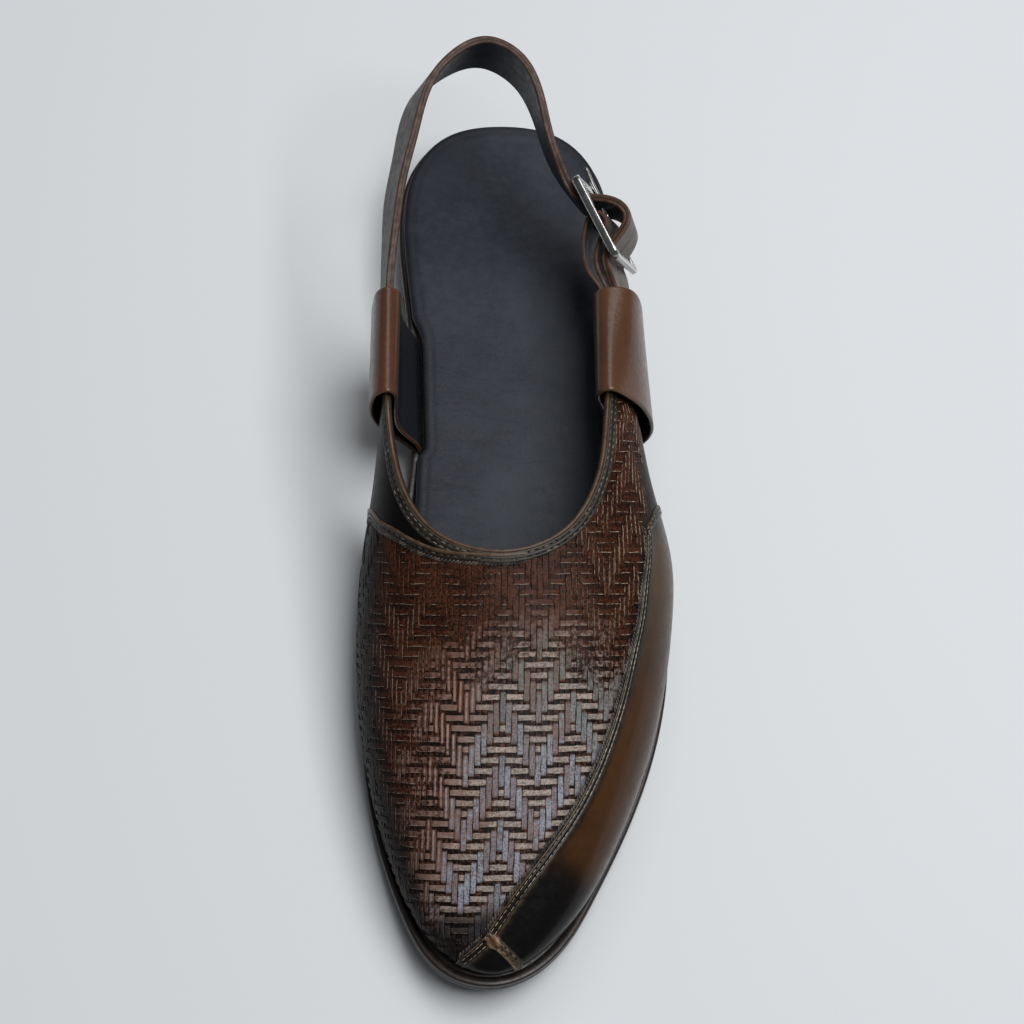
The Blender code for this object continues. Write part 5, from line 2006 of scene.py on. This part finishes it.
@dataclass
class Sole:
    """Outsole with its waxed edge, the heel block and the padded sock on top."""

    notches: Rows = ((1.0, 32.1, 34.4), (-1.0, -29.5, -28.9))     # side, then x at rear and front
    notch_span: Pair = (-87.5, -48.5)
    heel_breast: float = -27.0
    heel_taper: float = 1.2
    heel_joints: Pair = (0.655, 0.355)              # shares of the heel's height

    OUTSOLE_RIM = [
        (14.0, 0, 0.0, 0.0), (3.4, 0, 0.0, 0.1), (3.0, 0, -0.28, 0.0), (2.6, 0, 0.0, 0.3),
        (1.1, 0, -0.02, 0.5), (0.45, 0, -0.14, 1.0), (0.1, 0, -0.5, 1.0), (0.0, 0, -1.1, 0.4),
        (0.05, 0, -2.6, 0.0), (0.28, 0, -2.95, 0.1), (0.05, 0, -3.3, 0.0), (0.12, 0, -5.6, 0.0),
        (0.35, 1, 0.9, 0.1), (0.8, 1, 0.35, 0.3), (1.5, 1, 0.02, 0.2), (14.0, 1, 0.0, 0.0),
    ]
    SOCK_RIM = [
        (5.2, 0, 0.0, 0.0), (3.9, 0, -0.02, 0.1), (3.3, 0, -0.16, 0.5), (2.8, 0, -0.04, 0.5),
        (2.0, 0, 0.02, 0.55), (1.2, 0, -0.08, 0.65), (0.55, 0, -0.35, 0.7), (0.15, 0, -0.95, 0.8),
        (0.0, 0, -1.9, 0.9), (0.1, 1, 0.6, 1.0), (0.6, 1, 0.05, 1.0), (5.2, 1, 0.0, 1.0),
    ]

    def build(self) -> None:
        """Makes the outsole, the heel and the insole."""
        outline = smooth_curve(SOLE_OUTLINE, 640, closed=True)
        self.build_outsole(outline)
        self.build_heel(outline)
        self.build_insole(outline)

    def build_outsole(self, outline: Array) -> None:
        """Makes the outsole: a ledge with a groove, then a rounded, waxed edge.

        Args:
            outline: the shoe's outline in plan.
        """
        bm = bmesh.new()
        plate = Plate(outline, self.OUTSOLE_RIM, sole_top, lambda y: sole_top(y) - OUTSOLE_THICKNESS, 6)
        plate.build(bm, 320, lambda y, paint: {"wear": 0.12 * paint})
        piece("outsole_edge", bm, SoleEdge("sole_wax"), "outsole")

    def build_heel(self, outline: Array) -> None:
        """Makes the heel block, drawn in to the floor, with lines where its layers meet.

        Args:
            outline: the shoe's outline in plan.
        """
        rear = outline[outline[:, 1] > self.heel_breast]
        split = int(np.argmax(np.linalg.norm(rear - np.roll(rear, 1, axis=0), axis=1)))
        rear = np.roll(rear, -split, axis=0)
        ring = np.vstack((rear, np.linspace(rear[-1], rear[0], 30)[1:-1], rear[:1]))
        ring = np.column_stack((ring, sole_top(ring[:, 1]) - OUTSOLE_THICKNESS - GAP))
        joints = [(joint + step, inset) for joint in self.heel_joints
                  for step, inset in ((0.025, 0.0), (0.0, 0.22), (-0.025, 0.0))]
        rows = np.array([(1.0, 0.35), (0.94, 0.0), *joints, (0.08, 0.05), (0.02, 0.35), (0.0, 0.9)])
        spots = np.arange(len(ring))

        def place(u: Array, v: Array) -> Array:
            """Points of the block."""
            top = rows_at(u * spots[-1], spots, ring)
            share, inset = along_table(v, rows).T
            inset = inset + self.heel_taper * (1.0 - share)
            return np.column_stack((top[:, :2] - unit(top[:, :2]) * inset[:, None], top[:, 2] * share))

        bm = bmesh.new()
        sweep(bm, 240, len(rows) - 1, place, closed=True, uv_scale=(200.0, 12.0))
        bmesh.ops.holes_fill(bm, edges=[edge for edge in bm.edges if edge.is_boundary], sides=0)
        piece("heel_stack", bm, SoleEdge("heel_wax", grain=0.09), "heel")

    def build_insole(self, outline: Array) -> None:
        """Makes the padded sock with its rolled rim, notched where the loops stand.

        Args:
            outline: the shoe's outline in plan.
        """
        sock = outline + inward_of(outline) * table_at(INSOLE_INSET, outline[:, 1])
        x, y = sock.T
        start, end = self.notch_span
        within = smooth_step(y, start - 1.2, start + 0.2) * smooth_step(y, end + 9.0, end - 0.2)
        share = np.clip((end - y) / (end - start), 0.0, 1.0)
        for side, rear, front in self.notches:
            limit = rear + (front - rear) * share - side * 0.1
            past = (x * side > 0.0) & (x * side > limit * side)
            x = np.where(past, x + (limit - x) * within, x)
        bm = bmesh.new()
        plate = Plate(np.column_stack((x, y)), self.SOCK_RIM, lambda y: sole_top(y) + GAP + INSOLE_THICKNESS,
                      lambda y: sole_top(y) + GAP, 22, crown=-0.35)
        # the rim is darker, and forward of the throat painted shade darkens the sock inside the toe
        plate.build(bm, 300, lambda y, paint: {
            "burnish": np.clip(0.75 * paint + 0.9 * smooth_step(y, -128.0, -165.0), 0.0, 1.0)})
        piece("insole_sock", bm, InsoleLeather("sock_leather"), "insole")


# ---- side loops -------------------------------------------
@dataclass
class SideLoop:
    """Strip of leather that stands beside the insole, turns over at the top and comes back down."""

    name: str
    rows: Rows
    core: Triple
    node: str
    colour: Colour
    rear: float = -49.0
    front: float = -87.0
    wall: float = 1.4
    shaded: Pair = (0.55, 0.8)

    def build(self) -> None:
        """Makes the strip, with rounded cut edges."""
        lines = []
        for rear_x, rear_z, front_x, front_z in smooth_curve(self.rows, 260, dims=4):
            lines.append(np.linspace((rear_x, self.rear, rear_z), (front_x, self.front, front_z), 60))
        swath = Swath(np.array(lines), 60, self.core)
        half = self.wall / 2.0
        curl = ((0.0, 0.0, 1.0), (0.12, 0.6 * half, 1.0), (0.45, half, 0.6), (0.9, half + 0.04, 0.1))
        tuck = ((0.5, -half, 0.5), (0.12, -0.6 * half, 1.0))
        front_edge = [(-distance, 1.0, lift, paint) for distance, lift, paint in (*curl[::-1], *tuck[::-1])]
        rows = (beside(*curl) + across(0.05, 0.95, 20, half) + front_edge + across(0.95, 0.05, 10, -half)
                + beside(*tuck))
        leather = BurnishedLeather(f"{self.name}_calf", self.colour, (0.016, 0.013, 0.011), coat=0.2,
                                   ior=1.36, grain=0.07, pebble=620.0, mottle=0.3)
        swept_piece(self.name, swath, rows, 150, leather, self.tones, node=self.node)

    def tones(self, s: Array, _near: Array, _share: Array, paint: Array) -> Tones:
        """Painted shade on the way down, brown at the cut edges, lined where it faces the foot."""
        return {"burnish": 0.62 * smooth_step(s, *self.shaded) + 0.3 * paint, "wear": 0.08 * paint,
                "inward": smooth_step(s, 0.44, 0.40) * (paint < 0.3)}


OUTER_LOOP: Rows = (  # rear_x, rear_z, front_x, front_z
    (33.7, 18.9, 36.5, 14.6), (33.3, 23.5, 35.8, 19.5), (31.7, 31.5, 33.4, 28.5),
    (28.9, 41.0, 29.6, 40.0), (26.6, 50.0, 26.4, 51.5), (26.3, 55.8, 25.7, 58.4),
    (28.2, 58.9, 28.5, 61.1), (32.6, 60.0, 32.0, 59.2), (37.4, 57.8, 36.4, 54.2),
    (40.4, 51.0, 40.4, 48.0), (41.9, 43.0, 43.4, 40.4), (42.4, 35.0, 45.0, 32.6),
    (41.2, 28.0, 44.6, 25.8), (38.4, 22.8, 42.2, 19.8), (35.7, 18.9, 38.5, 14.6),
)
INNER_LOOP: Rows = (
    (-30.7, 18.9, -30.1, 14.6), (-31.6, 23.6, -31.2, 19.4), (-34.0, 30.0, -34.6, 26.0),
    (-36.5, 38.0, -37.8, 33.5), (-37.4, 46.0, -38.8, 43.0), (-37.6, 54.0, -39.0, 52.5),
    (-38.6, 57.6, -39.7, 57.8), (-41.2, 59.4, -41.9, 59.6), (-43.8, 57.2, -44.6, 57.8),
    (-45.0, 52.0, -46.3, 53.4), (-45.6, 45.0, -46.9, 46.4), (-45.2, 38.0, -45.9, 39.4),
    (-42.0, 30.0, -42.4, 31.0), (-36.8, 23.4, -36.4, 21.6), (-32.5, 18.9, -31.9, 14.6),
)


# ---- straps and buckle ------------------------------------
class BuckleAxes:
    """Axes of the buckle: along its top rail, out of its plane and down its bars."""

    REAR = Vector((20.0, -12.8, 67.0))
    FRONT = Vector((31.8, -39.5, 65.0))
    LEAN = math.radians(25.0)

    def __init__(self) -> None:
        """Works out the axes from the ends of the top rail."""
        rail = self.FRONT - self.REAR
        self.length = rail.length
        self.along = rail.normalized()
        side = Vector((-self.along.y, self.along.x, 0.0)).normalized()
        down = side.cross(self.along)
        if down.z > 0.0:
            down.negate()
        self.down = (down * math.cos(self.LEAN) + side * math.sin(self.LEAN)).normalized()
        self.out = (side * math.cos(self.LEAN) - down * math.sin(self.LEAN)).normalized()

    def point(self, along: float, out: float, down: float) -> Vector:
        """A point given along the rail, out of the frame's plane and down its bars."""
        return self.REAR + self.along * along + self.out * out + self.down * down

    def strip_row(self, along: float, out: float, drop: float, upright: float = 0.0) -> tuple[float, ...]:
        """A row (x, y, z, lean_x, lean_y) for a strip whose width runs down the bars."""
        p = self.point(along, out, drop)
        down = self.down.lerp(Vector((0.0, 0.0, -1.0)), upright)
        return (p.x, p.y, p.z, -down.x / down.z, -down.y / down.z)

    def round_bar(self, radius: float, turns: Sequence[float]) -> list[Pair]:
        """Places (along, out) on a circle round the centre bar, at turns in degrees."""
        return [(self.length / 2.0 + radius * math.cos(turn), radius * math.sin(turn))
                for turn in np.radians(turns)]


@dataclass
class Strap:
    """A strip of leather on edge: two plies glued together, or one."""

    name: str
    rows: Rows
    node: str
    width: float
    thickness: float
    stations: int
    plies: int = 2
    crease: float = 0.0        # how strongly a line shows along the face
    ripple: float = 0.12       # waviness of the outer faces of a strip of two plies

    # share of half the thickness at distances from an edge, and how much of the edge's dye shows
    CURL = ((0.06, 0.75, 1.0), (0.3, 0.97, 0.75), (0.7, 1.0, 0.1))

    def section(self) -> Array:
        """Rows of (down, out, rim, ply) round the strip, starting at its top edge.

        Returns:
            Rows of the section.
        """
        half, width = self.thickness / 2.0, self.width
        dip = 0.22 if self.plies == 2 else 0.0
        front = [(0.0, 0.35 * half, 1.0)] + [(down, out * half, rim) for down, out, rim in self.CURL]
        back = [(0.0, -0.45 * half, 1.0)] + [(down, -out * half, rim) for down, out, rim in self.CURL]
        inner = np.linspace(1.2, width - 1.2, 12)
        rows = [(dip, -0.06, 1.0), *front, *((down, half, 0.0) for down in inner),
                *((width - down, out, rim) for down, out, rim in reversed(front)),
                (width - dip, -0.06, 1.0), *((width - down, out, rim) for down, out, rim in back),
                *((down, -half, 0.0) for down in inner[::-1]), *reversed(back), (dip, -0.06, 1.0)]
        return np.array([(down, out, rim, 0.5 + out / self.thickness) for down, out, rim in rows])

    def build(self) -> None:
        """Makes the strip along its path."""
        path = smooth_curve(self.rows, self.stations, dims=3)
        centre = path[:, :3]
        down = unit(np.column_stack((path[:, 3:], np.full(len(path), -1.0))))
        side = unit(np.cross(unit(np.gradient(centre, axis=0)), down))
        section = self.section()

        def place(u: Array, v: Array) -> Array:
            """Points of the strip."""
            drop, out = along_table(v, section[:, :2]).T[..., None]
            drop = drop + self.ripple * np.sin(u * 70.0)[:, None] * (np.abs(out) > 0.8)
            return (along_table(u, centre) + unit(along_table(u, down)) * drop
                    + unit(along_table(u, side)) * out)

        def tones(_u: Array, v: Array) -> Tones:
            """Numbers to paint; the edge of a single ply is dyed all over."""
            drop, _, rim, ply = along_table(v, section).T
            line = np.exp(-((drop - self.width * 0.45) / 0.5) ** 2) * self.crease
            return {"rim": rim, "ply": ply if self.plies == 2 else np.where(rim > 0.5, 0.9, ply),
                    "crease": line * (rim < 0.05)}

        bm = bmesh.new()
        sweep(bm, self.stations, len(section) - 1, place, wrap=True, tones=tones,
              uv_scale=(float(distances(centre)[-1]), self.width))
        piece(self.name, bm, StrapLeather("strap_leather_plies"), self.node)


@dataclass
class Buckle:
    """Sling strap, billet, rectangular frame with a centre bar, and prong."""

    height: float = 24.0           # between the middles of the rails
    bar: float = 2.7               # width of a bar in the frame's plane
    depth: float = 2.2
    corner: float = 1.9            # radius of the frame's corners
    squareness: float = 4.2        # 2 gives round bars, more gives flatter faces
    pin: float = 1.8               # diameter of the centre bar
    strap_drop: float = 2.4        # of the strap's upper edge below the top rail
    billet_drop: float = 3.2
    billet_fold: float = 2.08      # radius of the billet's middle round the centre bar
    prong_drop: float = 10.4
    prong_radius: float = 0.95
    prong_eye: float = 2.5

    # x, y, z, lean_x and lean_y of the strips outside the buckle; along, out and upright inside it
    STRAP_BACK = (
        (-41.0, -59.6, 56.6, -0.09, 0.0), (-40.8, -50.0, 56.8, -0.09, 0.0), (-38.4, -27.4, 63.2, -0.18, 0.0),
        (-36.0, -13.0, 67.6, -0.27, 0.03), (-31.8, 2.8, 72.3, -0.33, 0.08), (-26.9, 18.0, 76.5, -0.33, 0.14),
        (-18.0, 28.1, 79.4, -0.16, 0.16), (-8.5, 31.7, 80.4, -0.04, 0.10), (-0.4, 28.8, 79.6, 0.02, 0.0),
        (5.1, 22.9, 77.9, 0.02, -0.05), (8.9, 13.5, 75.0, 0.03, -0.04), (11.4, 2.8, 71.4, 0.09, -0.01),
        (14.6, -6.4, 67.5, 0.20, 0.05),
    )
    STRAP_INSIDE = (
        (1.0, -3.3, 0.26), (3.9, -2.7, 0.22), (6.6, 0.0, 0.20), (9.0, 3.8, 0.22), (12.0, 7.1, 0.30),
        (15.6, 9.1, 0.38), (19.2, 9.0, 0.40), (22.0, 6.2, 0.36), (24.0, 2.2, 0.26), (25.6, -1.0, 0.14),
        (27.8, -3.5, 0.0), (31.0, -4.6, -0.08),
    )
    STRAP_END = (
        (31.7, -47.5, 57.4, 0.36, 0.05), (33.4, -54.0, 56.5, 0.27, 0.0), (34.4, -60.0, 55.8, 0.24, 0.0),
        (34.8, -67.0, 54.8, 0.27, 0.0),
    )
    BILLET_INNER = (
        (28.4, -57.6, 55.4, 0.20, 0.0), (28.2, -53.0, 55.7, 0.20, 0.0), (27.7, -47.8, 56.3, 0.20, 0.0),
    )
    BILLET_RISE = ((27.6, -10.8), (22.6, -9.5), (18.4, -7.6), (14.8, -5.0), (12.6, -2.4))
    BILLET_FALL = ((17.8, 1.4), (20.2, -1.2), (23.6, -5.0), (28.0, -7.4))
    BILLET_OUTER = (
        (29.6, -47.6, 56.4, 0.22, 0.0), (30.2, -54.0, 55.8, 0.20, 0.0), (29.1, -66.0, 55.2, 0.22, 0.0),
    )
    EYE_TURNS = (70.0, 30.0, -10.0, -50.0, -90.0, -130.0, -170.0, -205.0, -235.0)
    PRONG_PATH = ((11.2, 2.5), (8.0, 2.5), (4.0, 2.5), (0.0, 2.7), (-3.4, 3.1), (-5.8, 3.2))

    def build(self) -> None:
        """Makes the straps and the buckle."""
        axes = BuckleAxes()
        through = [axes.strip_row(along, out, self.strap_drop, upright)
                   for along, out, upright in self.STRAP_INSIDE]
        Strap("sling_strap_plies", (*self.STRAP_BACK, *through, *self.STRAP_END), "sling_strap",
              width=19.0, thickness=2.6, stations=330, crease=0.55).build()
        fold = axes.round_bar(self.billet_fold, (180.0, 135.0, 90.0))
        through = [axes.strip_row(along, out, self.billet_drop)
                   for along, out in (*self.BILLET_RISE, *fold, *self.BILLET_FALL)]
        Strap("billet_ply", (*self.BILLET_INNER, *through, *self.BILLET_OUTER), "buckle_billet",
              width=17.5, thickness=1.4, stations=190, plies=1).build()
        self.build_frame(axes)
        self.build_prong(axes)

    def build_frame(self, axes: BuckleAxes) -> None:
        """Makes the frame and its centre bar from bars with rounded edges."""
        bm = bmesh.new()
        radius, half = self.corner, self.bar / 2.0
        right, bottom = axes.length - radius, self.height - radius
        corners = ((right, bottom, 0.0), (radius, bottom, 90.0), (radius, radius, 180.0),
                   (right, radius, 270.0))
        ring = []
        for x, y, start in corners:
            for turn in np.radians(start + np.linspace(0.0, 90.0, 9)):
                side = (math.cos(turn), math.sin(turn))
                ring.append((x + radius * side[0], y + radius * side[1], *side))
        ring = np.array((*ring, ring[0]))
        run = distances(ring[:, :2])
        turns = np.linspace(0.0, 2.0 * math.pi, 25)
        circle = np.column_stack((np.cos(turns), np.sin(turns)))
        shape = np.sign(circle) * np.abs(circle) ** (2.0 / self.squareness) * (half, self.depth / 2.0)
        basis = np.array((axes.along, axes.down, axes.out))

        def place(u: Array, v: Array) -> Array:
            """Points of the frame, a little deeper along its top rail."""
            x, y, side_x, side_y = rows_at(u * run[-1], run, ring).T
            wide, deep = along_table(v, shape).T
            deep = deep * (1.0 + 0.3 * smooth_step(y, 4.0, 0.5))
            return np.array(axes.REAR) + np.column_stack((x + side_x * wide, y + side_y * wide, deep)) @ basis

        def centre(u: Array, v: Array) -> Array:
            """Points of the centre bar."""
            wide, deep = along_table(v, circle * self.pin / 2.0).T
            down = 0.2 + (self.height - 0.4) * u
            return np.array(axes.REAR) + np.column_stack((axes.length / 2.0 + wide, down, deep)) @ basis

        # painted glints: near-white lines along the four rounded corners of each bar, where highlights fall
        sweep(bm, 180, len(shape) - 1, place, wrap=True, closed=True, uv_scale=(100.0, 8.0),
              tones=lambda u, v: {"polish": smooth_step(np.abs(np.sin(4.0 * math.pi * v)), 0.55, 1.0)})
        sweep(bm, 12, len(turns) - 1, centre, wrap=True, uv_scale=(24.0, 6.0))
        piece("buckle_bars", bm, Steel("buckle_bar_steel"), "buckle_frame")

    def build_prong(self, axes: BuckleAxes) -> None:
        """Makes the prong: an eye round the centre bar, then a pin that tapers to its tip."""
        eye = axes.round_bar(self.prong_eye, self.EYE_TURNS)
        points = np.array([axes.point(along, out, self.prong_drop)
                           for along, out in smooth_curve((*eye, *self.PRONG_PATH), 90)])
        down = np.array(axes.down)
        side = unit(np.cross(unit(np.gradient(points, axis=0)), down))
        share = evenly(len(points))
        radius = self.prong_radius * (1.0 - 0.35 * smooth_step(share, 0.7, 0.96)) * np.sqrt(
            1.0 - 0.9 * smooth_step(share, 0.97, 1.0))

        def place(u: Array, v: Array) -> Array:
            """Points of the prong."""
            r = np.interp(u, share, radius)[:, None]
            turn = (2.0 * math.pi * v)[:, None]
            return (along_table(u, points) + along_table(u, side) * r * np.cos(turn)
                    + down * r * np.sin(turn))

        bm = bmesh.new()
        sweep(bm, 90, 16, place, wrap=True, uv_scale=(40.0, 6.0))
        piece("buckle_pin", bm, Steel("prong_steel", (0.55, 0.545, 0.53), 0.16), "buckle_prong")


# ---- studio -----------------------------------------------
@dataclass
class Studio:
    """Pale floor, soft light from above and the camera."""

    eye: Triple = (-0.0585, -0.4884, 0.8678)
    pitch: float = 65.9936                     # degrees below the horizon
    pan: float = 3.57                          # degrees towards the outer side
    lens: float = 100.2
    surround: float = 0.107
    target: Triple = (0.0, -0.14, 0.0)     # that the lights point at

    def build(self) -> None:
        """Makes the floor, the lights and the camera."""
        bm = bmesh.new()
        bmesh.ops.create_grid(bm, x_segments=8, y_segments=8, size=3.0)
        mesh = bpy.data.meshes.new("floor")
        bm.to_mesh(mesh)
        bm.free()
        mesh.materials.append(Backdrop("paper").material())
        floor = bpy.data.objects.new("floor", mesh)
        bpy.context.scene.collection.objects.link(floor)
        self.add_world()
        self.add_light("key", (0.38, -0.13, 1.3), (1.0, 0.8), 17.6)
        self.add_light("fill", (0.1, 0.9, 1.3), (0.9, 0.6), 4.5)
        self.add_camera()
        bpy.context.scene.view_settings.view_transform = "Standard"

    def add_world(self) -> None:
        """Sets an even pale surround."""
        world = bpy.data.worlds.new("studio")
        world.use_nodes = True
        background = world.node_tree.nodes["Background"]
        background.inputs["Color"].default_value = (0.90, 0.95, 1.0, 1.0)
        background.inputs["Strength"].default_value = self.surround
        bpy.context.scene.world = world

    def add_light(self, name: str, place: Triple, size: Pair,
                  watts: float) -> None:
        """Adds a soft box aimed at the shoe.

        Args:
            name: name of the light.
            place: where it hangs.
            size: its sides.
            watts: its power.
        """
        data = bpy.data.lights.new(name, "AREA")
        data.shape = "RECTANGLE"
        data.size, data.size_y = size
        data.energy = watts
        light = bpy.data.objects.new(name, data)
        light.location = place
        light.rotation_euler = (Vector(self.target) - Vector(place)).to_track_quat("-Z", "Y").to_euler()
        bpy.context.scene.collection.objects.link(light)

    def add_camera(self) -> None:
        """Adds the camera, tipped down and panned a little to the outer side."""
        data = bpy.data.cameras.new("camera")
        data.lens = self.lens
        data.sensor_width = 36.0
        data.clip_start, data.clip_end = 0.05, 20.0
        camera = bpy.data.objects.new("camera", data)
        down = Matrix.Rotation(math.radians(90.0 - self.pitch), 4, "X")
        aside = Matrix.Rotation(-math.radians(self.pan), 4, "Y")
        camera.matrix_world = Matrix.Translation(self.eye) @ down @ aside
        bpy.context.scene.collection.objects.link(camera)
        bpy.context.scene.camera = camera


def main() -> None:
    """Loads the frame and builds the shoe round it."""
    logging.basicConfig(level=logging.INFO, format="%(message)s")
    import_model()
    last = Last()
    seams = Seams(last)
    Sole().build()
    WovenVamp().build(seams)
    SideBand().build(seams)
    InnerQuarter().build(seams)
    Collar().build(seams)
    SideLoop("outer_side_loop", OUTER_LOOP, (34.5, -68.0, 42.0), "outer_loop", (0.098, 0.042, 0.021)).build()
    SideLoop("inner_side_loop", INNER_LOOP, (-40.5, -68.0, 44.0), "inner_loop", (0.098, 0.038, 0.020)).build()
    Buckle().build()
    Studio().build()


if __name__ == "__main__":
    main()
